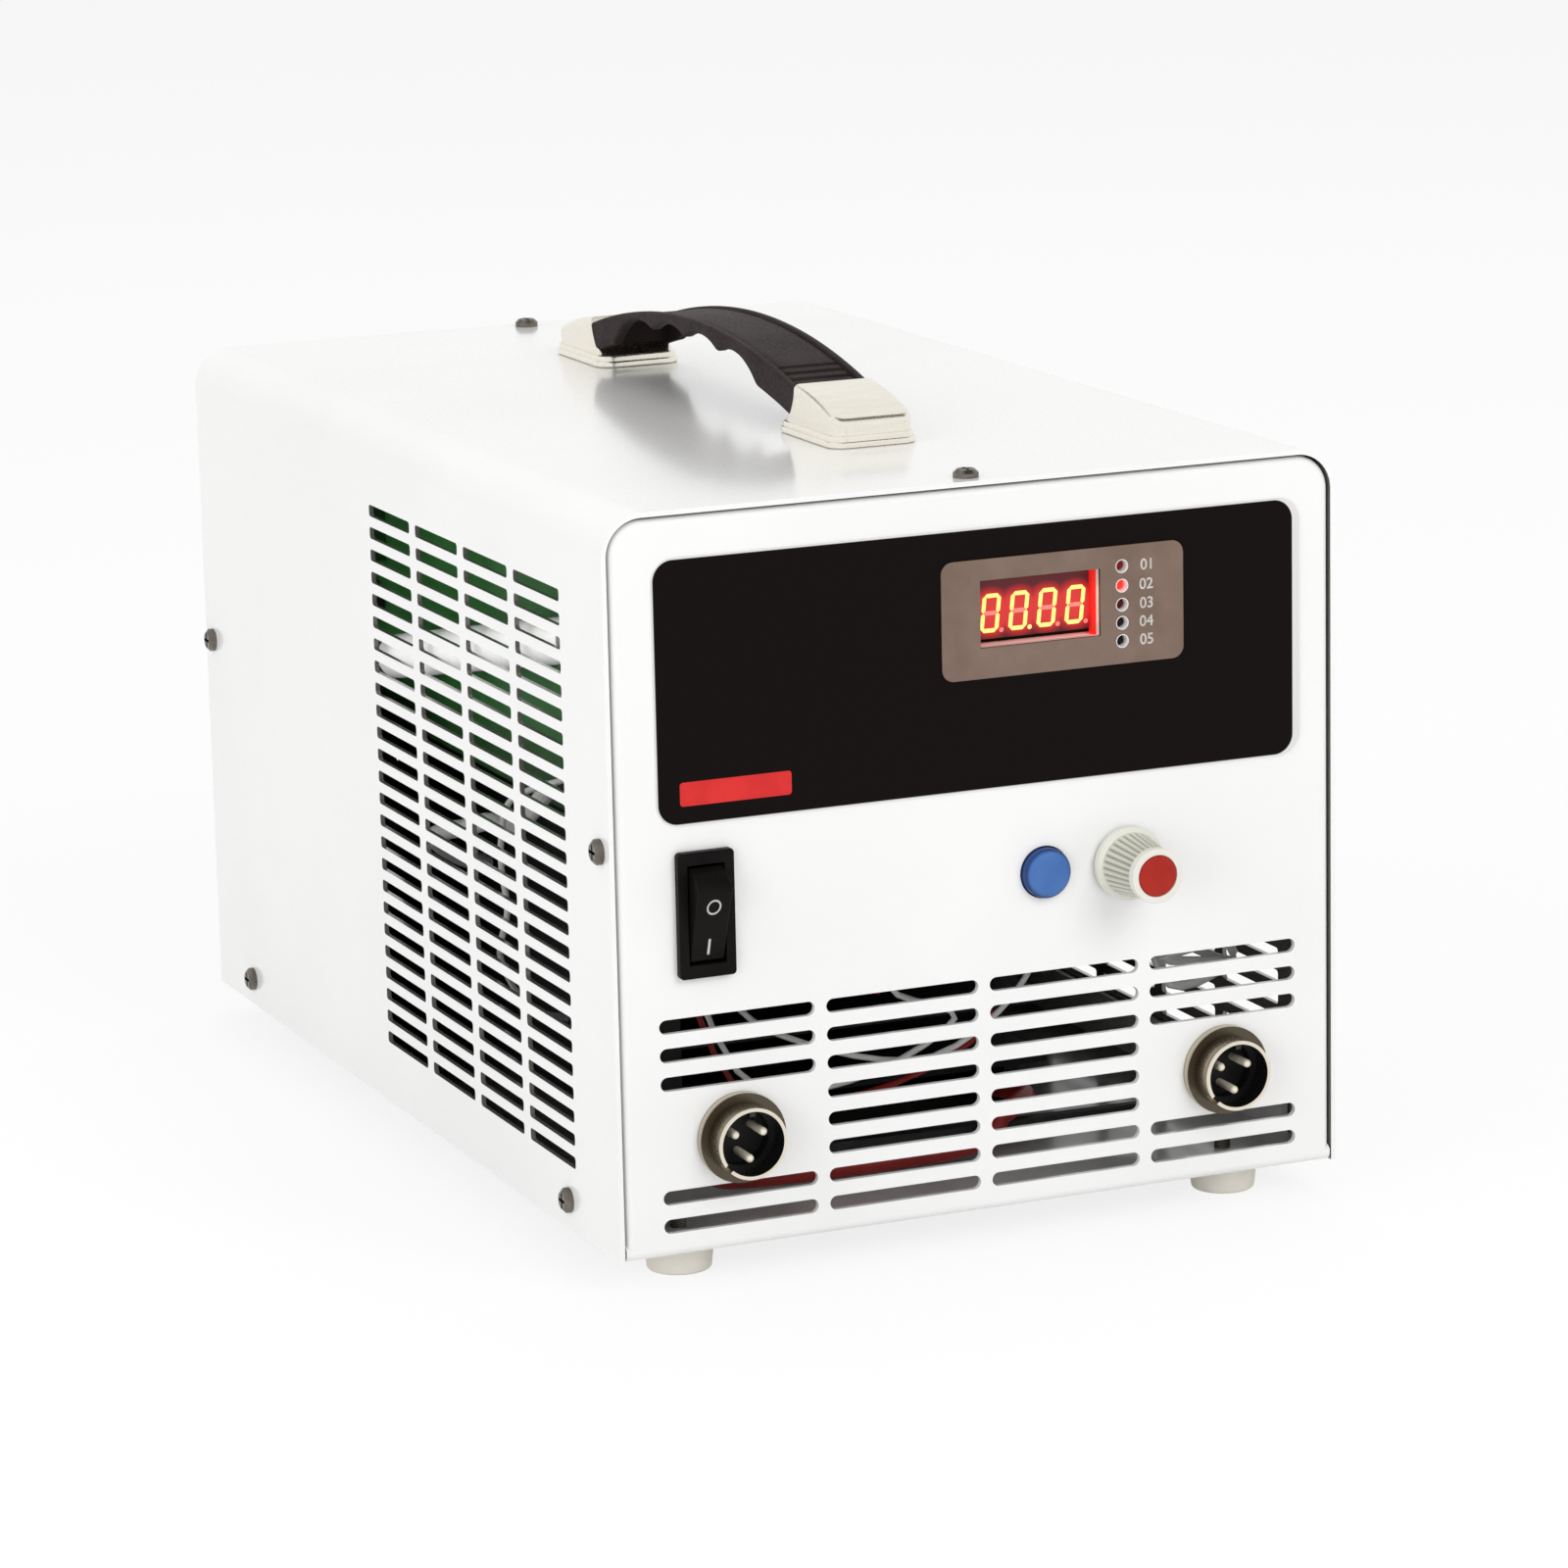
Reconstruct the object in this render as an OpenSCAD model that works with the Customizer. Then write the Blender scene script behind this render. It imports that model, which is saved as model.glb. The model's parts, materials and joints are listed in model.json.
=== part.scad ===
// Bench electronic load for battery capacity tests.
// A folded cover closes over a folded chassis; controls sit in the front wall, a fan in the rear wall.
// Millimetres. X runs across the front, Y from front to rear, Z up; Z 0 is the floor under the feet.
// The modules are drawn from the front face (Y 0) and the lower edge of the cover (Z 0), then placed.

/* [Case] */
// Width over the two sides of the cover
case_w = 190; // [170:1:220]
// Height from the lower edge of the cover to its top
case_h = 178; // [160:1:200]
// Depth from the front edge to the rear edge
case_d = 300; // [270:1:340]
// Sheet thickness of the cover
cover_t = 1.2; // [0.8:0.1:2]
// Outer radius of the two top bends
bend_r = 10; // [8:0.5:14]
// Gap between the cover and the chassis inside it
seam = 0.4; // [0.2:0.1:0.8]
// Sheet thickness of the chassis
chassis_t = 1.5; // [1:0.1:2]
// Outer radius of the chassis edges
edge_r = 2; // [1.6:0.1:3]
// Depth of the turned-in flanges
flange_d = 14; // [10:1:20]

/* [Vents] */
// Length of a side slot
side_slot_l = 29.8; // [20:0.2:32]
// Height of a side slot
side_slot_h = 3; // [2:0.1:4]
// Rows of side slots
side_rows = 25; // [10:1:25]
// Length of a front slot
front_slot_l = 39.6; // [30:0.2:41]
// Height of a front slot
front_slot_h = 3.45; // [2:0.05:4.5]

/* [Handle] */
// Width of the grip
grip_w = 21; // [18:0.5:26]
// Length over the two end caps
handle_l = 187; // [170:1:210]
// Height of the top of the grip over the cover
grip_rise = 20.5; // [16:0.5:30]
// Radius of the grip's arch
arch_r = 252; // [220:1:320]
// Width of an end cap at its foot
cap_w = 23.6; // [20:0.2:30]
// Length of an end cap at its foot
cap_l = 35; // [28:1:42]

/* [Controls] */
// Diameter of the push button
button_d = 12.2; // [10:0.1:13]
// Travel of the push button
button_travel = 1.5; // [0.5:0.1:2]
// Diameter of the knob at its skirt
knob_d = 17.8; // [15:0.1:20]
// Flutes round the knob
flutes = 30; // [18:1:40]
// Rest tilt of the rocker from its middle position
rocker_tilt = 20; // [10:1:22]

/* [Sockets] */
// Outer diameter of the socket barrel
barrel_d = 17.4; // [15.8:0.1:20]
// Inner diameter of the socket barrel
barrel_bore = 15.6; // [14:0.1:18]
// Length of the barrel in front of the wall
barrel_l = 8.3; // [6:0.1:12]
// Diameter of the flange
flange_dia = 21.8; // [20:0.1:25]

/* [Feet] */
// Height of a foot
foot_h = 8.5; // [5:0.5:15]
// Diameter of a foot at the chassis
foot_d = 17.5; // [14:0.5:22]

/* [Hidden] */
$fn = 48;
chassis_w = case_w - 2 * cover_t - 2 * seam;
chassis_h = case_h - cover_t - seam;
chassis_r = bend_r - cover_t - seam;
top_in = case_h - cover_t;
button_at = [16.4, 81.9];
knob_at = [38, 82];
rocker_at = [-71.7, 82.3];
pivot_y = 1.2;
window_at = [15.75, 146.1];
window_s = [31.5, 16.2];
plate_at = [21.75, 145];
socket_xs = [-64, 64];
socket_z = 27.3;
insert_y = 2.2;
lamp_x = 37.2;
lamp_zs = [154.3, 149.6, 145, 140.6, 136.2];
overlay_t = 0.5;
board_y = 11;
fan_at = [0, 92];
fan_s = 120;
fan_hole = 52.5;
fan_y = case_d - chassis_t - 25;
inlet_at = [-55, 17];
blade_spots = [[-7, -2], [0, 2], [7, -2]];
head_h = 2;
guard_t = 2;
front_reach = 17.4;
rear_reach = guard_t + head_h;
y_mid = (case_d + rear_reach - front_reach) / 2;
side_screws = [[5.9, 98.3], [case_d - 6.1, 98.3], [32.6, 7.2], [case_d - 29.3, 7.2]];
top_screws = [6, case_d - 6];
cap_screws = [case_d / 2 - handle_l / 2 + 11, case_d / 2 + handle_l / 2 - 11];
foot_xs = [-73, 73];
foot_ys = [18, case_d - 18];
spacer_at = [[-8, 75], [52, 75], [-8, 158], [52, 158]];
board_spots = [[72, 98], [232, 98], [72, 152], [232, 152]];

// Small helpers

module placed() {
  translate([0, -y_mid, foot_h]) children();
}

// A flat outline drawn in X and Z, made thick along Y
module wall_xz(y, t) {
  translate([0, y + t, 0]) rotate([90, 0, 0]) linear_extrude(t) children();
}

// A flat outline drawn in Y and Z, made thick along X
module wall_yz(x, t) {
  translate([x, 0, 0]) rotate([90, 0, 90]) linear_extrude(t) children();
}

module rod_x(x0, x1, y, z, d) {
  translate([x0, y, z]) rotate([0, 90, 0]) cylinder(h = x1 - x0, d = d);
}

module rod_y(at, y0, y1, d) {
  translate([at[0], y0, at[1]]) rotate([-90, 0, 0]) cylinder(h = y1 - y0, d = d);
}

// A rod along Y whose diameter changes from the front to the rear
module cone_y(at, y0, y1, d0, d1) {
  translate([at[0], y0, at[1]]) rotate([-90, 0, 0]) cylinder(h = y1 - y0, d1 = d0, d2 = d1);
}

module round_rect(w, h, r) {
  square([w - 2 * r, h], center = true);
  square([w, h - 2 * r], center = true);
  for (x = [-1, 1], y = [-1, 1]) translate([x * (w / 2 - r), y * (h / 2 - r)]) circle(r);
}

module long_hole(l, h) {
  square([l - h, h], center = true);
  for (x = [-1, 1]) translate([x * (l - h) / 2, 0]) circle(h / 2);
}

// Rectangle standing on Z 0 whose two upper corners are round
module arch_outline(w, h, r) {
  translate([-w / 2, 0]) square([w, h - r]);
  translate([r - w / 2, 0]) square([w - 2 * r, h]);
  for (x = [-1, 1]) translate([x * (w / 2 - r), h - r]) circle(r);
}

// Pan head screw along +Z, head above Z 0, with a cross recess
module screw(d, l, head_d) {
  difference() {
    union() {
      cylinder(h = head_h * 0.55, d = head_d);
      translate([0, 0, head_h * 0.55]) cylinder(h = head_h * 0.45, d1 = head_d, d2 = head_d * 0.7);
    }
    for (a = [0, 90]) rotate(a)
      translate([-head_d * 0.3, -0.4, head_h * 0.45]) cube([head_d * 0.6, 0.8, head_h]);
  }
  translate([0, 0, -l]) cylinder(h = l, d = d);
}

function unit(v) = v / norm(v);

function clamp(i, points) = points[max(0, min(len(points) - 1, i))];

// Smooth curve through the points: position between point i and the next one
function curve(p, i, t) = 0.5 * (2 * clamp(i, p) + (clamp(i + 1, p) - clamp(i - 1, p)) * t
  + (2 * clamp(i - 1, p) - 5 * clamp(i, p) + 4 * clamp(i + 1, p) - clamp(i + 2, p)) * t * t
  + (3 * clamp(i, p) - clamp(i - 1, p) - 3 * clamp(i + 1, p) + clamp(i + 2, p)) * t * t * t);

// A lead: eight-sided rings along a smooth curve through the points
module lead(points, d, steps = 5, sides = 8) {
  last = len(points) - 2;
  path = concat([for (i = [0 : last], k = [0 : steps - 1]) curve(points, i, k / steps)], [points[last + 1]]);
  n = len(path);
  rings = [for (i = [0 : n - 1])
    let (t = unit(clamp(i + 1, path) - clamp(i - 1, path)),
      a = unit(cross(t, [0.35, 0.2, 0.9])),
      b = cross(t, a))
    for (k = [0 : sides - 1]) path[i] + d / 2 * (cos(k * 360 / sides) * a + sin(k * 360 / sides) * b)];
  skin = [for (i = [0 : n - 2], k = [0 : sides - 1], h = [0, 1])
    let (a = i * sides + k, b = i * sides + (k + 1) % sides)
    h == 0 ? [a, b, a + sides] : [b, b + sides, a + sides]];
  ends = [for (k = [1 : sides - 2], h = [0, 1])
    h == 0 ? [0, k + 1, k] : (n - 1) * sides * [1, 1, 1] + [0, k, k + 1]];
  polyhedron(rings, concat(skin, ends));
}

// Case

module side_slots() {
  for (c = [0 : 3], r = [0 : side_rows - 1])
    translate([42.47 + c * 34.09, 155.09 - r * 5.736]) round_rect(side_slot_l, side_slot_h, 0.9);
}

module cover_side() {
  difference() {
    square([case_d, case_h - bend_r]);
    side_slots();
    for (p = side_screws) translate(p) circle(d = 3.2);
  }
}

module cover_top() {
  difference() {
    wall_xz(0, case_d) difference() {
      union() {
        translate([bend_r - case_w / 2, case_h - bend_r]) square([case_w - 2 * bend_r, bend_r]);
        for (x = [-1, 1]) translate([x * (case_w / 2 - bend_r), case_h - bend_r]) circle(bend_r);
      }
      translate([-case_w / 2, case_h - 3 * bend_r]) square([case_w, 2 * bend_r]);
      translate([bend_r - case_w / 2, case_h - bend_r]) square([case_w - 2 * bend_r, bend_r - cover_t]);
      for (x = [-1, 1]) translate([x * (case_w / 2 - bend_r), case_h - bend_r]) circle(bend_r - cover_t);
    }
    for (y = top_screws) translate([0, y, top_in - 1]) cylinder(h = 4, d = 3.2);
    for (y = cap_screws, x = [-6, 6]) translate([x, y, top_in - 1]) cylinder(h = 4, d = 4);
  }
}

module cover() {
  color([0.95, 0.95, 0.94]) {
    wall_yz(-case_w / 2, cover_t) cover_side();
    wall_yz(case_w / 2 - cover_t, cover_t) cover_side();
    cover_top();
  }
}

// Section through the rounded edge: a strip of the wall, the bend and the flange
module rim_section() {
  translate([0, edge_r]) square([chassis_t, flange_d - edge_r]);
  translate([edge_r, 0]) square([3 - edge_r, chassis_t]);
  difference() {
    translate([edge_r, edge_r]) circle(edge_r);
    translate([chassis_t, chassis_t]) square(2 * edge_r);
  }
}

// Front or rear rim: sides, corners, top and bottom of the rounded edge
module wall_rim() {
  for (s = [0, 1]) mirror([s, 0, 0]) {
    translate([-chassis_w / 2, 0, 3]) linear_extrude(chassis_h - chassis_r - 3) rim_section();
    translate([chassis_w / 2 - chassis_r, 0, chassis_h - chassis_r]) mirror([0, 0, 1]) rotate([-90, 0, 0])
      rotate_extrude(angle = 90) translate([chassis_r, 0]) mirror([1, 0]) rim_section();
  }
  wall_yz(chassis_r - chassis_w / 2, chassis_w - 2 * chassis_r)
    translate([0, chassis_h]) rotate(-90) rim_section();
  wall_yz(-chassis_w / 2, chassis_w) mirror([0, 1]) rotate(-90) rim_section();
}

module plate_outline() {
  translate([0, 3]) arch_outline(chassis_w - 6, chassis_h - 6, chassis_r - 3);
}

module front_slots() {
  for (c = [0 : 3], r = [0 : 7])
    if (c == 1 || c == 2 || r < 3 || r > 5)
      translate([(c - 1.5) * 42.63, 55.89 - r * 6.92]) long_hole(front_slot_l, front_slot_h);
}

module window_holes() {
  translate(window_at) square(window_s, center = true);
  for (z = lamp_zs) translate([lamp_x, z]) circle(d = 3);
}

module front_plate() {
  difference() {
    plate_outline();
    front_slots();
    window_holes();
    translate(rocker_at) square([12.8, 28.4], center = true);
    translate(button_at) circle(d = button_d + 0.7);
    translate(knob_at) circle(d = 7.2);
    for (x = socket_xs) translate([x, socket_z]) circle(d = 16);
  }
}

module rear_plate() {
  difference() {
    plate_outline();
    translate(fan_at) circle(d = 114);
    for (x = [-1, 1], z = [-1, 1]) translate(fan_at + fan_hole * [x, z]) circle(d = 4);
    translate(inlet_at) square([27.4, 20], center = true);
    for (x = [-20, 20]) translate(inlet_at + [x, 0]) circle(d = 3);
  }
}

module chassis() {
  color([0.96, 0.96, 0.95]) difference() {
    union() {
      wall_rim();
      wall_xz(0, chassis_t) front_plate();
      translate([0, case_d, 0]) mirror([0, 1, 0]) wall_rim();
      wall_xz(case_d - chassis_t, chassis_t) rear_plate();
      translate([-chassis_w / 2, flange_d - 1, 0]) cube([chassis_w, case_d - 2 * flange_d + 2, chassis_t]);
      for (x = [-chassis_w / 2, chassis_w / 2 - chassis_t])
        translate([x, 22, 0]) cube([chassis_t, case_d - 44, 14]);
    }
    for (p = side_screws) rod_x(-case_w, case_w, p[0], p[1], 3);
    for (y = top_screws) translate([0, y, chassis_h - 4]) cylinder(h = 8, d = 3);
    for (x = foot_xs, y = foot_ys) translate([x, y, -1]) cylinder(h = 4, d = 4);
    for (y = [90, 220], x = [-54, 40]) translate([x, y, -1]) cylinder(h = 4, d = 4);
  }
}

module cover_screws() {
  color([0.7, 0.7, 0.68]) {
    for (p = side_screws) {
      translate([case_w / 2, p[0], p[1]]) rotate([0, 90, 0]) screw(3, 7, 6.2);
      translate([-case_w / 2, p[0], p[1]]) rotate([0, -90, 0]) screw(3, 7, 6.2);
    }
    for (y = top_screws) translate([0, y, case_h]) screw(3, 7, 6.2);
  }
}

module feet() {
  color([0.88, 0.86, 0.8]) for (x = foot_xs, y = foot_ys) translate([x, y, -foot_h]) difference() {
    cylinder(h = foot_h, d1 = foot_d - 2, d2 = foot_d);
    translate([0, 0, -1]) cylinder(h = foot_h - 2, d = 8.4);
    cylinder(h = foot_h + 1, d = 4);
  }
}

module foot_screws() {
  color([0.7, 0.7, 0.68]) for (x = foot_xs, y = foot_ys)
    translate([x, y, -3]) rotate([180, 0, 0]) screw(4, 8, 7.6);
}

// Handle

grip_top = case_h + grip_rise;
arch_z = grip_top - arch_r;
half_grip = handle_l / 2 - 20;

// Side view of the grip: a band of the arch, its top lowered by drop, with finger scallops below
module grip_side(drop) {
  difference() {
    intersection() {
      translate([case_d / 2, arch_z]) circle(arch_r - drop, $fn = 96);
      translate([case_d / 2 - half_grip, case_h + 3.2]) square([2 * half_grip, grip_rise]);
    }
    translate([case_d / 2, arch_z - 8.8]) circle(arch_r, $fn = 96);
    for (i = [-1.5 : 1 : 1.5])
      translate([case_d / 2 + i * 20, grip_top - 17.8 - i * i * 0.8]) circle(12);
    if (drop > 0) for (s = [-1, 1], i = [0 : 2])
      translate([case_d / 2, arch_z]) rotate(s * (13.9 - i * 0.95)) translate([0, arch_r - drop]) circle(0.75);
  }
}

module handle_grip() {
  color([0.16, 0.14, 0.14]) {
    wall_yz(-grip_w / 2, 2) grip_side(0);
    wall_yz(2 - grip_w / 2, grip_w - 4) grip_side(0.6);
    wall_yz(grip_w / 2 - 2, 2) grip_side(0);
  }
}

// Side view of the near end cap, drawn from its outer end
module cap_side() {
  difference() {
    intersection() {
      translate([-5, 0]) square([cap_l + 10, 20]);
      translate([34.4, -76.9]) circle(90, $fn = 96);
    }
    translate([38.5, 14.5]) circle(13, $fn = 64);
  }
}

// Room for the end of the grip inside a cap
module cap_room() {
  intersection() {
    translate([19.5, 3.2]) square([30, 20]);
    translate([handle_l / 2, grip_rise - arch_r]) circle(arch_r, $fn = 96);
  }
}

module end_cap() {
  difference() {
    union() {
      intersection() {
        wall_yz(-cap_w / 2, cap_w) cap_side();
        translate([0, cap_l / 2, 0]) linear_extrude(20) round_rect(cap_w - 1.6, cap_l - 1.6, 4);
      }
      translate([0, cap_l / 2, 0]) linear_extrude(3) round_rect(cap_w, cap_l, 4.5);
    }
    wall_yz(-grip_w / 2, grip_w) cap_room();
    for (x = [-6, 6]) translate([x, 11, -1]) cylinder(h = 6, d = 3.4);
  }
}

module handle_caps() {
  color([0.78, 0.76, 0.72]) {
    translate([0, case_d / 2 - handle_l / 2, case_h]) end_cap();
    translate([0, case_d / 2 + handle_l / 2, case_h]) mirror([0, 1, 0]) end_cap();
  }
}

module handle_screws() {
  color([0.7, 0.7, 0.68]) for (y = cap_screws, x = [-6, 6])
    translate([x, y, top_in]) rotate([180, 0, 0]) screw(3.4, 6, 7);
}

// Front controls

module label_overlay() {
  color([0.09, 0.08, 0.07]) wall_xz(-overlay_t, overlay_t) difference() {
    translate([1.05, 135.3]) round_rect(167.9, 63, 5.5);
    window_holes();
  }
}

module display_plate() {
  color([0.5, 0.45, 0.4]) wall_xz(-2 * overlay_t, overlay_t) difference() {
    translate(plate_at) round_rect(63.5, 28.6, 3);
    window_holes();
  }
}

module display_baffle() {
  color([0.92, 0.92, 0.9]) wall_xz(chassis_t, 4) difference() {
    translate([22, 145.3]) square([52, 26], center = true);
    window_holes();
  }
}

module display_module() {
  color([0.5, 0.05, 0.05]) wall_xz(4, board_y - 4) translate(window_at) square([30.1, 14], center = true);
}

module indicator_lamps() {
  color([0.6, 0.1, 0.1]) for (z = lamp_zs) {
    rod_y([lamp_x, z], 4.8, board_y, 2.8);
    translate([lamp_x, 4.8, z]) sphere(d = 2.8);
  }
}

module control_board() {
  color([0.1, 0.4, 0.2]) wall_xz(board_y, 1.6) difference() {
    translate([22, 116]) square([68, 94], center = true);
    for (p = spacer_at) translate(p) circle(d = 3);
  }
}

module control_spacers() {
  color([0.75, 0.72, 0.6]) for (p = spacer_at) difference() {
    rod_y(p, chassis_t, board_y, 6);
    rod_y(p, 3, board_y + 1, 3);
  }
}

module control_screws() {
  color([0.7, 0.7, 0.68]) for (p = spacer_at)
    translate([p[0], board_y + 1.6, p[1]]) rotate([-90, 0, 0]) screw(3, 9, 5.6);
}

module rocker_housing() {
  color([0.08, 0.08, 0.08]) difference() {
    union() {
      wall_xz(-2, 2) translate(rocker_at) round_rect(14.2, 30.2, 1);
      wall_xz(-1, 21) translate(rocker_at) square([12.6, 28.2], center = true);
    }
    wall_xz(-3, 17.5) translate(rocker_at) square([9.4, 24], center = true);
    rod_x(rocker_at[0] - 5.9, rocker_at[0] + 5.9, pivot_y, rocker_at[1], 3.1);
    for (z = [-8, 0, 8]) translate([rocker_at[0] - 3.2, 12, rocker_at[1] + z - 0.4]) cube([6.4, 10, 0.8]);
  }
}

module switch_terminals() {
  color([0.8, 0.7, 0.4]) for (z = [-8, 0, 8])
    translate([rocker_at[0] - 3.2, 15, rocker_at[1] + z - 0.4]) cube([6.4, 15, 0.8]);
}

// Side view of the rocker round its pivot: a shallow V in front, ends that turn clear of the housing
module rocker_side() {
  intersection() {
    circle(11.5);
    polygon([[-6.3, -12], [-5.9, 0], [-6.3, 12], [1.5, 12], [5.5, 2.5], [5.5, -2.5], [1.5, -12]]);
  }
}

module rocker() {
  color([0.1, 0.1, 0.1]) translate([rocker_at[0], pivot_y, rocker_at[1]]) rotate([rocker_tilt, 0, 0]) {
    wall_yz(-4.3, 8.6) rocker_side();
    rod_x(-5.6, 5.6, 0, 0, 3);
  }
}

module button_cap() {
  color([0.2, 0.42, 0.75]) {
    rod_y(button_at, -2.2, 2.4, button_d);
    cone_y(button_at, -3, -2.2, button_d - 1.8, button_d);
    rod_y(button_at, 2.4, 8.2, 5);
  }
}

module push_switch() {
  color([0.12, 0.12, 0.12]) difference() {
    wall_xz(6, board_y - 6) translate(button_at) square([12, 12], center = true);
    rod_y(button_at, 5, 8.7 + button_travel, 5.16);
  }
}

// Grooves along the cone of the knob, tilted with its side
module knob_flutes() {
  for (i = [0 : flutes - 1]) translate([knob_at[0], -9.4, knob_at[1]]) rotate([0, i * 360 / flutes, 0])
    translate([7.05, 0, 0]) rotate([0, 0, 7.55]) rotate([0, 45, 0])
      translate([-0.3, -5.9, -0.3]) cube([0.6, 11.8, 0.6]);
}

module knob() {
  color([0.86, 0.85, 0.8]) difference() {
    union() {
      rod_y(knob_at, -3, -1, knob_d);
      cone_y(knob_at, -16.2, -3, 12.3, 15.8);
      rod_y(knob_at, -17.2, -16.2, 12.3);
    }
    knob_flutes();
    rod_y(knob_at, -6.4, 0, 13.4);
    rod_y(knob_at, -14, 0, 6);
    rod_y(knob_at, -18, -15.6, 10.1);
  }
}

module knob_cap() {
  color([0.72, 0.12, 0.1]) {
    rod_y(knob_at, -17, -15.6, 10.1);
    cone_y(knob_at, -front_reach, -17, 9.5, 10.1);
  }
}

module pot_shaft() {
  color([0.7, 0.7, 0.7]) rod_y(knob_at, -14, 7, 6);
}

module potentiometer() {
  color([0.45, 0.45, 0.42]) difference() {
    union() {
      rod_y(knob_at, chassis_t, board_y, 16.5);
      rod_y(knob_at, -5, chassis_t, 7);
    }
    rod_y(knob_at, -6, 8, 6.12);
  }
}

module pot_nut() {
  color([0.7, 0.7, 0.7]) difference() {
    translate([knob_at[0], -2, knob_at[1]]) rotate([-90, 0, 0]) cylinder(h = 2, d = 11.5, $fn = 6);
    rod_y(knob_at, -3, 1, 7);
  }
}

// Sockets

// Flange, barrel and rear sleeve of a socket, with a notch in the rim and a key along the bore
module socket_shell() {
  difference() {
    union() {
      rod_y([0, 0], -barrel_l, 0, barrel_d);
      rod_y([0, 0], -2.4, 0, flange_dia);
      rod_y([0, 0], 0, 9, 16);
    }
    rod_y([0, 0], -barrel_l - 1, -1, barrel_bore);
    rod_y([0, 0], -2, 10, 14);
    rotate([0, 140, 0]) translate([6, -barrel_l - 1, -1]) cube([4, 4, 2]);
  }
  translate([-0.75, 0.2 - barrel_l, barrel_bore / 2 - 1.2]) cube([1.5, 6.6, 1.6]);
}

module socket_shells() {
  color([0.75, 0.7, 0.62]) for (x = socket_xs) translate([x, 0, socket_z]) socket_shell();
}

module socket_inserts() {
  color([0.06, 0.06, 0.06]) for (x = socket_xs) difference() {
    rod_y([x, socket_z], insert_y, 8, 14);
    for (a = [30, 150, 270]) rod_y([x + 4.1 * cos(a), socket_z + 4.1 * sin(a)], insert_y - 1, 9, 2);
  }
}

module socket_pins() {
  color([0.85, 0.75, 0.5]) for (x = socket_xs, a = [30, 150, 270])
    translate([x + 4.1 * cos(a), 0, socket_z + 4.1 * sin(a)]) {
      rod_y([0, 0], 2.7 - barrel_l, 13, 2);
      translate([0, 2.7 - barrel_l, 0]) sphere(d = 2);
    }
}

module socket_nuts() {
  color([0.75, 0.7, 0.62]) for (x = socket_xs) difference() {
    translate([x, chassis_t, socket_z]) rotate([-90, 0, 0]) cylinder(h = 3, d = 21.9, $fn = 6);
    rod_y([x, socket_z], 0, 6, 16);
  }
}

// Inside

module main_board() {
  color([0.1, 0.42, 0.2]) wall_yz(-76.6, 1.6) difference() {
    translate([58, 92]) square([184, 74]);
    for (p = board_spots) translate(p) circle(d = 3);
  }
}

module board_spacers() {
  color([0.75, 0.72, 0.6]) for (p = board_spots) difference() {
    rod_x(-75, -58, p[0], p[1], 6);
    rod_x(-76, -57, p[0], p[1], 3);
  }
}

module board_screws() {
  color([0.7, 0.7, 0.68]) for (p = board_spots)
    translate([-76.6, p[0], p[1]]) rotate([0, -90, 0]) screw(3, 12, 5.6);
}

module capacitors() {
  color([0.15, 0.15, 0.2]) for (y = [208, 222]) rod_x(-89, -76.6, y, 122, 11);
}

module relay() {
  color([0.15, 0.25, 0.5]) translate([-91.6, 200, 134]) cube([15, 19, 15]);
}

module heat_sink() {
  color([0.72, 0.73, 0.74]) difference() {
    union() {
      translate([-58, 70, chassis_t]) cube([8, 180, 157]);
      for (i = [0 : 9]) translate([-51, 70, 14 + i * 15.5]) cube([101, 180, 2]);
      translate([38, 70, chassis_t]) cube([4, 180, 13]);
    }
    for (y = [90, 220], x = [-54, 40]) translate([x, y, 0]) cylinder(h = 10, d = x > 0 ? 2.5 : 4);
    for (p = board_spots) rod_x(-59, -54, p[0], p[1], 3);
  }
}

module sink_screws() {
  color([0.7, 0.7, 0.68]) for (y = [90, 220]) {
    translate([-54, y, 0]) rotate([180, 0, 0]) screw(4, 9, 7.6);
    translate([40, y, 0]) rotate([180, 0, 0]) screw(2.5, 9, 7.6);
  }
}

module transistors() {
  color([0.1, 0.1, 0.1]) for (i = [0 : 4]) translate([-63, 92 + i * 28, 112]) {
    cube([5, 15.6, 20]);
    for (k = [-1 : 1]) translate([-12, 7.2 + k * 5.4, 2]) cube([12.5, 1.2, 0.8]);
  }
}

module fan_frame() {
  color([0.1, 0.1, 0.11]) difference() {
    union() {
      difference() {
        wall_xz(fan_y, 25) translate(fan_at) round_rect(fan_s, fan_s, 5);
        rod_y(fan_at, fan_y - 1, fan_y + 26, 115);
        wall_xz(fan_y + 4, 17) translate(fan_at) difference() {
          square(fan_s + 2, center = true);
          circle(d = 118.6);
        }
      }
      rod_y(fan_at, fan_y, fan_y + 3, 44);
      for (a = [45 : 90 : 315]) translate([fan_at[0], fan_y, fan_at[1]]) rotate([0, a, 0])
        translate([18, 0.4, -2]) cube([40.5, 2.2, 4]);
    }
    for (x = [-1, 1], z = [-1, 1]) rod_y(fan_at + fan_hole * [x, z], fan_y - 1, fan_y + 26, 4);
    rod_y(fan_at, fan_y + 0.8, fan_y + 4, 3.1);
  }
}

module fan_blade() {
  intersection() {
    translate([36, 13.5, 0]) rotate([34, 0, 0])
      translate([-20, -1, -17]) cube([40, 2, 34]);
    rod_y([0, 0], 4.6, 22.6, 110);
  }
}

module fan_rotor() {
  color([0.12, 0.12, 0.13]) translate([fan_at[0], fan_y, fan_at[1]]) {
    rod_y([0, 0], 4, 23.5, 42);
    rod_y([0, 0], 1.4, 4, 3);
    for (i = [0 : 6]) rotate([0, i * 360 / 7, 0]) fan_blade();
  }
}

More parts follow.
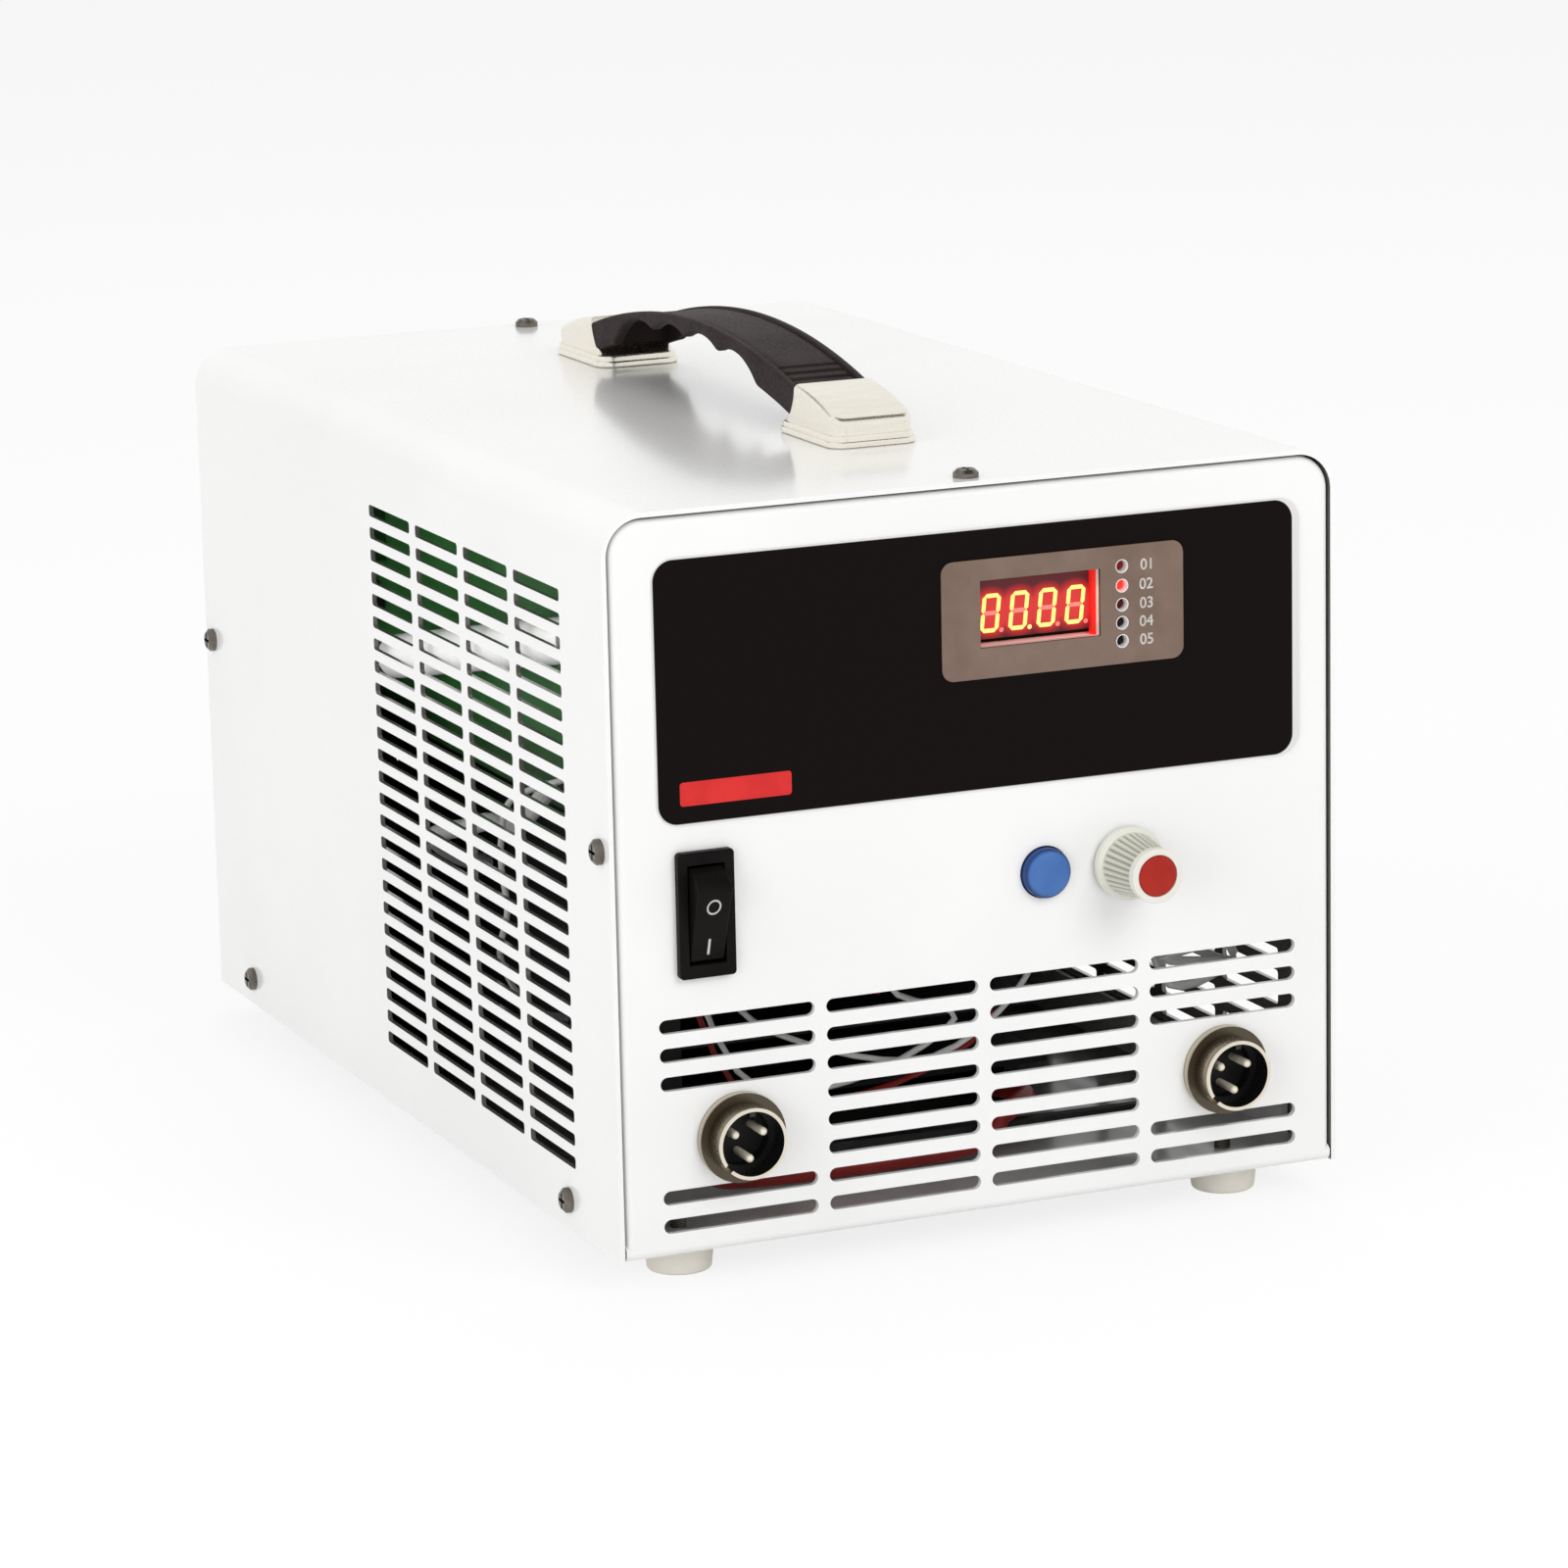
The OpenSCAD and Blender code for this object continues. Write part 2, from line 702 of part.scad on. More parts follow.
module fan_guard() {
  color([0.7, 0.7, 0.7]) difference() {
    union() {
      for (r = [17, 28, 39, 50]) translate([fan_at[0], case_d + 1, fan_at[1]]) rotate([-90, 0, 0])
        rotate_extrude() translate([r, 0]) circle(d = guard_t, $fn = 24);
      for (a = [45, 135]) translate([fan_at[0], case_d, fan_at[1]]) rotate([0, a, 0])
        translate([-fan_hole * sqrt(2), 0.1, -0.8]) cube([2 * fan_hole * sqrt(2), 1.2, 1.6]);
      for (x = [-1, 1], z = [-1, 1]) rod_y(fan_at + fan_hole * [x, z], case_d, case_d + guard_t, 9);
    }
    for (x = [-1, 1], z = [-1, 1]) rod_y(fan_at + fan_hole * [x, z], case_d - 1, case_d + 4, 4);
  }
}

module fan_screws() {
  color([0.7, 0.7, 0.68]) for (x = [-1, 1], z = [-1, 1])
    translate([x * fan_hole, case_d + guard_t, fan_at[1] + z * fan_hole]) rotate([-90, 0, 0]) screw(4, 26, 7.6);
}

module mains_inlet() {
  color([0.09, 0.09, 0.09]) difference() {
    union() {
      wall_xz(case_d, guard_t) translate(inlet_at) round_rect(50, 22.4, 4);
      wall_xz(case_d - 20, 20) translate(inlet_at) square([27.2, 19.8], center = true);
    }
    wall_xz(case_d - 16, 20) translate(inlet_at) round_rect(24.4, 16.4, 2);
    for (x = [-20, 20]) rod_y(inlet_at + [x, 0], case_d - 1, case_d + 3, 3);
    for (p = blade_spots)
      translate([inlet_at[0] + p[0] - 1, case_d - 21, inlet_at[1] + p[1] - 2]) cube([2, 8, 4]);
  }
}

module inlet_blades() {
  color([0.8, 0.7, 0.4]) for (p = blade_spots)
    translate([inlet_at[0] + p[0] - 1, case_d - 28, inlet_at[1] + p[1] - 2]) cube([2, 26, 4]);
}

module inlet_screws() {
  color([0.7, 0.7, 0.68]) for (x = [-20, 20])
    translate([inlet_at[0] + x, case_d + guard_t, inlet_at[1]]) rotate([-90, 0, 0]) screw(3, 8, 5.6);
}

module red_lead() {
  color([0.5, 0.06, 0.06]) lead([[-64, 15, 23], [-62, 24, 15], [-50, 28, 14.2],
    [28, 28, 14.2], [34, 34, 13], [34, 68, 10]], 5.4);
}

module black_lead() {
  color([0.06, 0.06, 0.06]) lead([[64, 15, 23], [62, 26, 12], [50, 36, 8],
    [-30, 40, 8], [-36, 46, 8], [-40, 68, 8]], 5.4);
}

module white_wires() {
  color([0.9, 0.9, 0.88]) {
    lead([[-4, 14, 72], [-14, 24, 52], [6, 30, 40], [-20, 36, 26], [-46, 44, 30],
      [-66, 52, 88], [-73, 57, 96]], 1.5);
    lead([[14, 14, 72], [24, 26, 50], [2, 34, 30], [-30, 40, 36], [-48, 48, 50],
      [-66, 54, 92], [-72, 57, 104]], 1.5);
    lead([[56.5, 14, 84], [72, 22, 56], [60, 24, 50], [78, 26, 46], [64, 28, 42],
      [60, 40, 60], [56, 66, 70]], 2.4);
    lead([[56.5, 14, 90], [82, 20, 60], [70, 30, 52], [84, 32, 45], [76, 36, 60], [60, 60, 80]], 2.4);
  }
}

module red_wires() {
  color([0.65, 0.1, 0.08]) {
    lead([[6, 14, 72], [10, 28, 54], [18, 38, 34], [-12, 44, 20], [-44, 50, 24],
      [-64, 56, 84], [-70, 57, 100]], 1.5);
    lead([[-70, 32, 74], [-62, 38, 62], [-30, 42, 56], [-6, 48, 44], [-40, 58, 60],
      [-62, 60, 96], [-68, 57, 110]], 1.5);
  }
}

module cable_bundle() {
  color([0.93, 0.93, 0.92]) {
    lead([[-82, 40, 118], [-83, 90, 120], [-83, 150, 112], [-83, 196, 108], [-84, 236, 104]], 6);
    lead([[-89, 44, 112], [-89.5, 92, 114.5], [-89.5, 150, 106], [-89.5, 196, 101], [-89, 236, 97]], 5);
  }
}

placed() cover();
placed() chassis();
placed() cover_screws();
placed() feet();
placed() foot_screws();
placed() handle_grip();
placed() handle_caps();
placed() handle_screws();
placed() label_overlay();
placed() display_plate();
placed() display_baffle();
placed() display_module();
placed() indicator_lamps();
placed() control_board();
placed() control_spacers();
placed() control_screws();
placed() rocker_housing();
placed() switch_terminals();
placed() rocker();
placed() button_cap();
placed() push_switch();
placed() knob();
placed() knob_cap();
placed() pot_shaft();
placed() potentiometer();
placed() pot_nut();
placed() socket_shells();
placed() socket_inserts();
placed() socket_pins();
placed() socket_nuts();
placed() main_board();
placed() board_spacers();
placed() board_screws();
placed() capacitors();
placed() relay();
placed() heat_sink();
placed() sink_screws();
placed() transistors();
placed() fan_frame();
placed() fan_rotor();
placed() fan_guard();
placed() fan_screws();
placed() mains_inlet();
placed() inlet_blades();
placed() inlet_screws();
placed() red_lead();
placed() black_lead();
placed() white_wires();
placed() red_wires();
placed() cable_bundle();
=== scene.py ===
# %% [markdown]
# A bench electronic load is a box that draws a known current from a battery.
# Two folded steel sheets make its case, a handle sits on top, and a lit display,
# a switch, a button, a knob and two round sockets sit in the front wall. The packed
# frame already holds every rigid piece in its place, so this lesson gives each piece
# its finish and adds what is too fine for the frame: lit digits, marks and soft edges.

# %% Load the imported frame
import json

import bmesh
import bpy
import numpy as np
from mathutils import Matrix, Vector

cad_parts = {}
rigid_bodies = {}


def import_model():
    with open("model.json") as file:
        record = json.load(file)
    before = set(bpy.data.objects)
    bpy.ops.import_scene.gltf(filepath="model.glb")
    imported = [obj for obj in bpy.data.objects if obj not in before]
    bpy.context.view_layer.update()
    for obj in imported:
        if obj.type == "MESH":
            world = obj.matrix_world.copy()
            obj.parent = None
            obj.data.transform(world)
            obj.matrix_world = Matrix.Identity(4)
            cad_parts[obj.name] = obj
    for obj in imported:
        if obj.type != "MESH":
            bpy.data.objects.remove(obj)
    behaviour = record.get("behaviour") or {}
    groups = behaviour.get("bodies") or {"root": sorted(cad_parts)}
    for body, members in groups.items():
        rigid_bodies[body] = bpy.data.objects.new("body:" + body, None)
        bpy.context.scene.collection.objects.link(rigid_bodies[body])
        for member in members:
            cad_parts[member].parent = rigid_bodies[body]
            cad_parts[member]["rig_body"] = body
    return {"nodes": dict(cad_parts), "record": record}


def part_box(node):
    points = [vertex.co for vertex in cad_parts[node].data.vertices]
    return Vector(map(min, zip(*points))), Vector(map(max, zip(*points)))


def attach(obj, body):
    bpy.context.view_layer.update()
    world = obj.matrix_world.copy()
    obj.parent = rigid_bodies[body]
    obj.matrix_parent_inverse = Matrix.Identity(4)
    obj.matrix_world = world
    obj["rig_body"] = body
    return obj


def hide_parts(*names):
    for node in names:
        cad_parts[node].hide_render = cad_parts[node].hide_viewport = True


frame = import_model()
nodes = frame["nodes"]
slot_of = {part["node"]: part["material_slot"] for part in frame["record"]["subparts"]}
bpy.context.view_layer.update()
MM = 0.001
FRONT_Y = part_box("cover")[0].y
CASE_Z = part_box("cover")[0].z
print("nodes:", len(nodes), "front face at", FRONT_Y, "cover starts at", CASE_Z)

# %% [markdown]
# The camera comes first, because every later choice is judged through it. A long lens
# stands to the left of the front and looks down by about thirteen degrees. Its three
# axes are written as rows (right, down, forward), so that the matrix can be read off
# without any angle: Blender's camera looks along its own -Z and has +Y up.

# %% Camera
scene = bpy.context.scene
link = scene.collection.objects.link
RIGHT = np.array([0.9174346549, -0.3973041998, -0.0215180578])
DOWN = np.array([-0.1062634678, -0.1925440018, -0.9755177511])
FORWARD = np.array([0.3834341265, 0.8972603748, -0.2188654619])
EYE = np.array([-0.579814, -1.381397, 0.421231])
lens = bpy.data.cameras.new("bench_camera")
lens.sensor_width = 36.0
lens.lens = 135.829
lens.clip_end = 50.0
camera = bpy.data.objects.new("bench_camera", lens)
link(camera)
pose = np.eye(4)
pose[:3, :4] = np.stack([RIGHT, -DOWN, -FORWARD, EYE], axis=1)
camera.matrix_world = Matrix(pose.tolist())
scene.camera = camera
scene.view_settings.view_transform = "Standard"
print("camera at", EYE)

# %% [markdown]
# Pieces are worked out as arrays of points. A grid of points becomes a mesh by joining
# each point to its neighbours, and where a row shrinks to one point, as at the middle of
# a turned disc, the doubles are merged so that the pole is closed. The drawing of the
# case starts at its front face and its lower edge, so one helper moves millimetres of
# that drawing into the frame's metres.

# %% Helpers for meshes
def in_frame(x, y, z):
    """Millimetres from the front face and the cover's lower edge, turned into metres of the frame."""
    x, y, z = np.broadcast_arrays(x, y, z)
    return np.stack([x * MM, y * MM + FRONT_Y, z * MM + CASE_Z], axis=-1)


def once_round(count):
    """Angles of a full turn, as many as asked."""
    return np.linspace(0, 2 * np.pi, count, endpoint=False)


def grid_faces(rows, cols, wrap_rows=False, wrap_cols=False):
    """Quads that join point (i, j) to (i+1, j), (i+1, j+1) and (i, j+1), wrapping round where asked."""
    i, j = np.meshgrid(np.arange(rows if wrap_rows else rows - 1),
                       np.arange(cols if wrap_cols else cols - 1), indexing="ij")
    i2, j2 = (i + 1) % rows, (j + 1) % cols
    return np.stack([i * cols + j, i2 * cols + j, i2 * cols + j2, i * cols + j2], -1).reshape(-1, 4)


def tube_faces(rows, cols):
    """Quads round a stack of closed rings, and one face at each end."""
    ends = [list(range(cols)), list(range((rows - 1) * cols, rows * cols))]
    return grid_faces(rows, cols, wrap_cols=True).tolist() + ends


def rows_of(items, what):
    """A property of all points or faces of a mesh, three numbers to a row."""
    values = np.empty(3 * len(items))
    items.foreach_get(what, values)
    return values.reshape(-1, 3)


def store(mesh, name, values, domain="POINT"):
    """Keeps one number for each point or face of a mesh, for its finish to read."""
    mesh.attributes.new(name, "FLOAT", domain).data.foreach_set("value", values.astype(np.float32))


def link_piece(name, mesh, finish, body):
    """Gives a mesh the finish of a name and puts it in the scene at the origin, riding on its body."""
    mesh.materials.clear()
    mesh.materials.append(finishes[finish])
    piece = bpy.data.objects.new(name, mesh)
    link(piece)
    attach(piece, body)
    print(name, len(mesh.polygons), "faces")
    return piece


def add_piece(name, points, faces, finish, body, slot, sharp_deg=35):
    """Stores points and faces as a mesh, merges doubles and turns the faces outwards."""
    mesh = bpy.data.meshes.new(name)
    mesh.from_pydata(np.asarray(points).reshape(-1, 3).tolist(), [], [list(f) for f in faces])
    work = bmesh.new()
    work.from_mesh(mesh)
    bmesh.ops.remove_doubles(work, verts=work.verts, dist=1e-7)
    bmesh.ops.recalc_face_normals(work, faces=work.faces)
    work.to_mesh(mesh)
    work.free()
    mesh.shade_smooth()
    mesh.set_sharp_from_angle(angle=np.radians(sharp_deg))
    return link_piece(name, mesh, finish, body)


def eased(node, width, segments=2, sharp_deg=32):
    """A merged copy of a CAD node whose sharp edges get a narrow bevel; the copy stands for the node."""
    work = bmesh.new()
    work.from_mesh(nodes[node].data)
    bmesh.ops.remove_doubles(work, verts=work.verts, dist=1e-7)
    bmesh.ops.dissolve_limit(work, angle_limit=np.radians(1.0), verts=work.verts, edges=work.edges)
    weight = work.edges.layers.float.new("bevel_weight_edge")
    for edge in work.edges:
        if edge.calc_face_angle(0.0) > np.radians(sharp_deg):
            edge[weight] = 1.0
    mesh = bpy.data.meshes.new(node + "_eased")
    work.to_mesh(mesh)
    work.free()
    for stale in ("custom_normal", "sharp_edge", "sharp_face"):
        if stale in mesh.attributes:
            mesh.attributes.remove(mesh.attributes[stale])
    mesh.shade_smooth()
    slot = slot_of[node]
    piece = link_piece(node + "_eased", mesh, slot, nodes[node]["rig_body"])
    bevel = piece.modifiers.new("edges", "BEVEL")
    bevel.width = width * MM
    bevel.segments = segments
    bevel.limit_method = "WEIGHT"
    piece.modifiers.new("shading", "WEIGHTED_NORMAL")
    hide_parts(node)


# %% [markdown]
# Most finishes differ in the same few ways: two near colours that drift into each other
# over some centimetres, a roughness that wanders, and a fine relief. One function builds
# that from two noises on Object coordinates, and each finish only says its own numbers.
# A value that is the same everywhere is set on the shader's socket and not by a node.

# %% Helpers for finishes
finishes = {}


def add_node(tree, kind, inputs=None, **settings):
    """Adds a shader node, sets its own settings and the values of its inputs."""
    made = tree.nodes.new("ShaderNode" + kind)
    for key, value in settings.items():
        setattr(made, key, value)
    for key, value in (inputs or {}).items():
        made.inputs[key].default_value = value
    return made


def chain(*stops):
    """Links each stop's first output to the next one's first input; a stop is a node or a socket."""
    for first, second in zip(stops, stops[1:]):
        links = first.id_data.links
        links.new(getattr(first, "outputs", [first])[0], getattr(second, "inputs", [second])[0])


def ramp(tree, stops, interpolation="LINEAR"):
    """A colour ramp whose stops are (place, colour), in rising order."""
    made = add_node(tree, "ValToRGB")
    made.color_ramp.interpolation = interpolation
    while len(made.color_ramp.elements) < len(stops):
        made.color_ramp.elements.new(0.5)
    for element, (place, colour) in zip(made.color_ramp.elements, stops):
        element.position = place
        element.color = (*colour, 1.0)
    return made


def blank(name, **sockets):
    """A new material, kept under its name; gives its node tree, its shader and Object coordinates."""
    material = finishes[name] = bpy.data.materials.new(name)
    material.use_nodes = True
    tree = material.node_tree
    shader = tree.nodes["Principled BSDF"]
    for key, value in sockets.items():
        shader.inputs[key.replace("_", " ")].default_value = value
    where = add_node(tree, "TexCoord").outputs["Object"]
    return tree, shader, where


def remap(tree, low, high, new_low=0.0, new_high=1.0, **settings):
    """A node that carries the span from low to high over to another one."""
    return add_node(tree, "MapRange", {"From Min": low, "From Max": high,
                                       "To Min": new_low, "To Max": new_high}, **settings)


def measured(where, axis, low, high):
    """How far a coordinate has come on its way from low to high, from 0 to 1."""
    split = add_node(where.id_data, "SeparateXYZ")
    share = remap(where.id_data, low, high)
    chain(where, split)
    chain(split.outputs[axis], share)
    return share.outputs[0]


def grained(shader, where, rough, grain, bump, depth):
    """A fine noise moves the roughness between two values and raises the surface by depth millimetres."""
    tree = where.id_data
    fine = add_node(tree, "TexNoise", {"Scale": grain, "Detail": 2.0})
    gloss = remap(tree, 0.3, 0.7, *rough)
    raised = add_node(tree, "Bump", {"Strength": bump, "Distance": depth * MM})
    chain(where, fine, gloss, shader.inputs["Roughness"])
    chain(fine, raised.inputs["Height"])
    chain(raised, shader.inputs["Normal"])


def surface(name, dark, light, rough, drift, grain, bump, depth=0.05, stretch=(1.0, 1.0, 1.0), **sockets):
    """Colour drifts from dark to light with a slow noise, roughness and relief follow a fine one."""
    tree, shader, where = blank(name, **sockets)
    mapping = add_node(tree, "Mapping", {"Scale": stretch})
    slow = add_node(tree, "TexNoise", {"Scale": drift, "Detail": 3.0})
    colours = ramp(tree, [(0.32, dark), (0.68, light)])
    chain(where, mapping, slow, colours, shader.inputs["Base Color"])
    grained(shader, mapping.outputs[0], rough, grain, bump, depth)


# %% [markdown]
# The set is a pale floor under a white world. The camera and mirror-like surfaces see a
# near white, while the light that falls on the object comes from a dimmer world and four
# large soft lamps. The floor adds a little glow of its own for the camera and still keeps
# a faint shadow under the case. A weak lamp inside the case lights the board behind the
# vents, and two dark cards that only mirrors see give the bright metal its shades.

# %% Set and light
BACKDROP = (0.945, 0.947, 0.947, 1.0)
FLOOR_N, FLOOR_R = 64, 4.0


def by_ray(tree, hidden, seen, out):
    """Rays of the camera, of mirrors and of glass meet one shader, all other rays meet the hidden one."""
    rays = add_node(tree, "LightPath")
    first = add_node(tree, "Math", operation="MAXIMUM")
    last = add_node(tree, "Math", operation="MAXIMUM")
    mix = add_node(tree, "MixShader")
    chain(rays.outputs["Is Camera Ray"], first, last, mix, add_node(tree, out))
    chain(rays.outputs["Is Glossy Ray"], first.inputs[1])
    chain(rays.outputs["Is Transmission Ray"], last.inputs[1])
    chain(hidden, mix.inputs[1])
    chain(seen, mix.inputs[2])


def set_piece(name, points, faces, finish):
    """A plain mesh of the set, linked to the scene."""
    mesh = bpy.data.meshes.new(name)
    mesh.from_pydata(points, [], faces)
    mesh.materials.append(finishes[finish])
    piece = bpy.data.objects.new(name, mesh)
    link(piece)
    return piece


world = bpy.data.worlds.new("studio")
scene.world = world
world.use_nodes = True
sky = world.node_tree
sky.nodes.clear()
light_part = add_node(sky, "Background", {"Color": (1.0, 1.0, 1.0, 1.0), "Strength": 0.62})
seen_part = add_node(sky, "Background", {"Color": BACKDROP, "Strength": 1.0})
by_ray(sky, light_part, seen_part, "OutputWorld")

ground = blank("pale_floor")[0]
ground.nodes.clear()
plain = add_node(ground, "BsdfDiffuse", {"Color": (0.8, 0.8, 0.8, 1.0)})
faint = add_node(ground, "BsdfDiffuse", {"Color": (0.2, 0.2, 0.2, 1.0)})
glow = add_node(ground, "Emission", {"Color": BACKDROP, "Strength": 0.84})
lit = add_node(ground, "AddShader")
chain(faint, lit)
chain(glow, lit.inputs[1])
by_ray(ground, plain, lit, "OutputMaterial")

turn, reach = np.meshgrid(once_round(FLOOR_N), [0.001, FLOOR_R])
floor_points = np.stack([reach * np.cos(turn), reach * np.sin(turn), 0 * turn], -1).reshape(-1, 3)
floor_rings = grid_faces(2, FLOOR_N, wrap_cols=True)[:, ::-1].tolist()
floor_rings.append(list(range(FLOOR_N)))
floor = set_piece("floor", floor_points.tolist(), floor_rings, "pale_floor")


def soft_lamp(name, place, size, power, colour=(1.0, 1.0, 1.0)):
    """A square lamp of size metres at place, turned so that its -Z looks at the middle of the case."""
    data = bpy.data.lights.new(name, "AREA")
    data.size = size
    data.energy = power
    data.color = colour
    lamp = bpy.data.objects.new(name, data)
    lamp.location = place
    lamp.rotation_mode = "QUATERNION"
    lamp.rotation_quaternion = (Vector(place) - Vector((0.0, 0.0, 0.1))).to_track_quat("Z", "Y")
    lamp.visible_glossy = False
    link(lamp)
    return lamp


soft_lamp("front_box", (0.5, -1.9, 1.4), 1.2, 17)
soft_lamp("left_box", (-1.9, -0.3, 1.2), 1.4, 11.5)
soft_lamp("top_box", (0.5, 0.6, 2.0), 1.6, 8, (1.0, 0.95, 0.91))
soft_lamp("low_box", (-1.5, -1.3, 0.4), 0.8, 5)
inside = soft_lamp("inside_light", (-0.0934, FRONT_Y + 0.135, CASE_Z + 0.135), 0.19, 0.022)
inside.data.shape = "RECTANGLE"
inside.data.size_y = 0.06
inside.data.spread = np.radians(70)
inside.rotation_quaternion = Vector((-1.0, 0.0, 0.0)).to_track_quat("Z", "Y")
inside.visible_camera = False

blank("dark_flag", Base_Color=(0.12, 0.1, 0.08, 1.0))
flag_points = [(-0.15, -0.42, 0.9), (0.65, -0.42, 0.9), (0.65, 0.08, 0.9), (-0.15, 0.08, 0.9),
               (-0.55, 0.63, 0.68), (-0.08, 0.63, 0.68), (-0.08, 0.63, 0.95), (-0.55, 0.63, 0.95)]
flag = set_piece("dark_flag", flag_points, [(0, 1, 2, 3), (4, 5, 6, 7)], "dark_flag")
flag.visible_camera = flag.visible_diffuse = flag.visible_shadow = flag.visible_transmission = False
print("lamps, floor and flag are set")

# %% [markdown]
# The finishes of the object follow, one for each kind of surface. Sheet steel is painted
# with a glossy white powder that keeps a slight orange peel, so its relief is shallow and
# its gloss high enough to mirror the handle softly. Metals differ by their tint and by
# how blurred their mirror is; plastics differ by the size of their grain.

# %% Finishes of sheets, metals and plastics
surface("white_paint", (0.86, 0.86, 0.855), (0.9, 0.9, 0.893), (0.17, 0.23),
        drift=14, grain=900, bump=0.05, depth=0.02, Coat_Weight=0.75, Coat_Roughness=0.12)
surface("screw_steel", (0.12, 0.105, 0.09), (0.22, 0.2, 0.175), (0.22, 0.38),
        drift=300, grain=2500, bump=0.08, Metallic=1.0)
surface("foot_rubber", (0.83, 0.785, 0.7), (0.9, 0.86, 0.77), (0.55, 0.7),
        drift=120, grain=2200, bump=0.25)
surface("grip_plastic", (0.019, 0.0132, 0.0125), (0.031, 0.0225, 0.0215), (0.5, 0.65),
        drift=90, grain=1300, bump=0.8, depth=0.2, Specular_IOR_Level=0.1)
surface("satin_nickel", (0.86, 0.82, 0.72), (0.92, 0.885, 0.79), (0.22, 0.32),
        drift=80, grain=1500, bump=0.05, stretch=(1.0, 9.0, 9.0), Metallic=1.0)
surface("white_plastic", (0.82, 0.81, 0.79), (0.88, 0.87, 0.85), (0.4, 0.5),
        drift=100, grain=2000, bump=0.08)
surface("spacer_brass", (0.6, 0.5, 0.3), (0.72, 0.62, 0.4), (0.25, 0.4),
        drift=200, grain=2200, bump=0.08, Metallic=1.0)
surface("black_plastic", (0.0045, 0.0038, 0.0036), (0.0075, 0.0065, 0.006), (0.34, 0.46),
        drift=120, grain=2400, bump=0.14, Specular_IOR_Level=0.07)
surface("button_blue", (0.048, 0.14, 0.4), (0.064, 0.165, 0.44), (0.34, 0.44),
        drift=160, grain=2400, bump=0.08, Specular_IOR_Level=0.3)
surface("cap_red", (0.35, 0.016, 0.009), (0.41, 0.022, 0.013), (0.3, 0.42),
        drift=200, grain=2400, bump=0.08, Specular_IOR_Level=0.2)
surface("insert_black", (0.006, 0.006, 0.006), (0.011, 0.0105, 0.01), (0.4, 0.55),
        drift=220, grain=2600, bump=0.1, Specular_IOR_Level=0.25)
surface("pin_metal", (0.86, 0.78, 0.62), (0.94, 0.87, 0.72), (0.16, 0.26),
        drift=300, grain=2600, bump=0.03, Metallic=0.15)
surface("can_dark", (0.015, 0.016, 0.03), (0.03, 0.032, 0.05), (0.3, 0.4),
        drift=150, grain=2000, bump=0.05)
surface("relay_blue", (0.02, 0.075, 0.02), (0.03, 0.1, 0.028), (0.35, 0.45),
        drift=150, grain=2200, bump=0.08)
surface("aluminium", (0.55, 0.56, 0.57), (0.68, 0.69, 0.7), (0.32, 0.46),
        drift=60, grain=1800, bump=0.1, stretch=(1.0, 0.06, 1.0), Metallic=1.0)
surface("black_anodised", (0.012, 0.012, 0.013), (0.022, 0.022, 0.024), (0.38, 0.5),
        drift=60, grain=1800, bump=0.1, stretch=(1.0, 0.06, 1.0), Specular_IOR_Level=0.3)
surface("board_green", (0.016, 0.078, 0.018), (0.024, 0.1, 0.026), (0.28, 0.4),
        drift=70, grain=1500, bump=0.1, Specular_IOR_Level=0.1)
surface("fan_black", (0.011, 0.011, 0.012), (0.019, 0.019, 0.021), (0.42, 0.56),
        drift=90, grain=1800, bump=0.2, Specular_IOR_Level=0.35)
surface("lead_red", (0.26, 0.012, 0.01), (0.36, 0.02, 0.016), (0.34, 0.46),
        drift=120, grain=1500, bump=0.06)
surface("lead_black", (0.012, 0.012, 0.012), (0.02, 0.02, 0.02), (0.4, 0.52),
        drift=120, grain=1500, bump=0.06)
surface("wire_white", (0.86, 0.86, 0.85), (0.92, 0.92, 0.91), (0.38, 0.5),
        drift=150, grain=1800, bump=0.06)
surface("plate_grey", (0.175, 0.118, 0.09), (0.212, 0.146, 0.113), (0.38, 0.48),
        drift=120, grain=2600, bump=0.06, depth=0.02, Specular_IOR_Level=0.3)
print(len(finishes), "finishes so far")

# %% [markdown]
# Four finishes change over one piece, and all four carry painted light. The cover's slot walls,
# the inside of its sides and the underside of its top get a darker painted shade: each face
# of the mesh is asked where it lies and which way it looks, and the answer is stored on it
# as a number. In the chassis the inside of the rear wall and the floor get painted shade, which
# fades in from 30 millimetres behind the front. The sockets are nickel outside with painted
# reflections, light and dark bands along the depth that are brightest on the rim, and black in
# the bore, which the distance from the nearest axis tells. The knob has painted shade: darker on
# its cone than on its rims, and darker still in its grooves.

# %% Finishes of the sheets, the sockets and the knob
def tinted(new, old, colour, attribute, start=None):
    """A copy of a finish whose colour moves to another one where an attribute of the mesh is 1.

    With start, a depth in metres of the frame, the change fades in over the 50 millimetres behind it.
    """
    finishes[new] = finishes[old].copy()
    tree = finishes[new].node_tree
    mark = add_node(tree, "Attribute", attribute_name=attribute).outputs["Fac"]
    if start is not None:
        where = tree.nodes["Texture Coordinate"].outputs["Object"]
        both = add_node(tree, "Math", operation="MULTIPLY")
        chain(mark, both)
        chain(measured(where, "Y", start, start + 50 * MM), both.inputs[1])
        mark = both.outputs[0]
    blend = add_node(tree, "Mix", data_type="RGBA")
    blend.inputs["B"].default_value = (*colour, 1.0)
    socket = tree.nodes["Principled BSDF"].inputs["Base Color"]
    chain(mark, blend.inputs["Factor"])
    chain(socket.links[0].from_socket, blend.inputs["A"])
    chain(blend.outputs["Result"], socket)
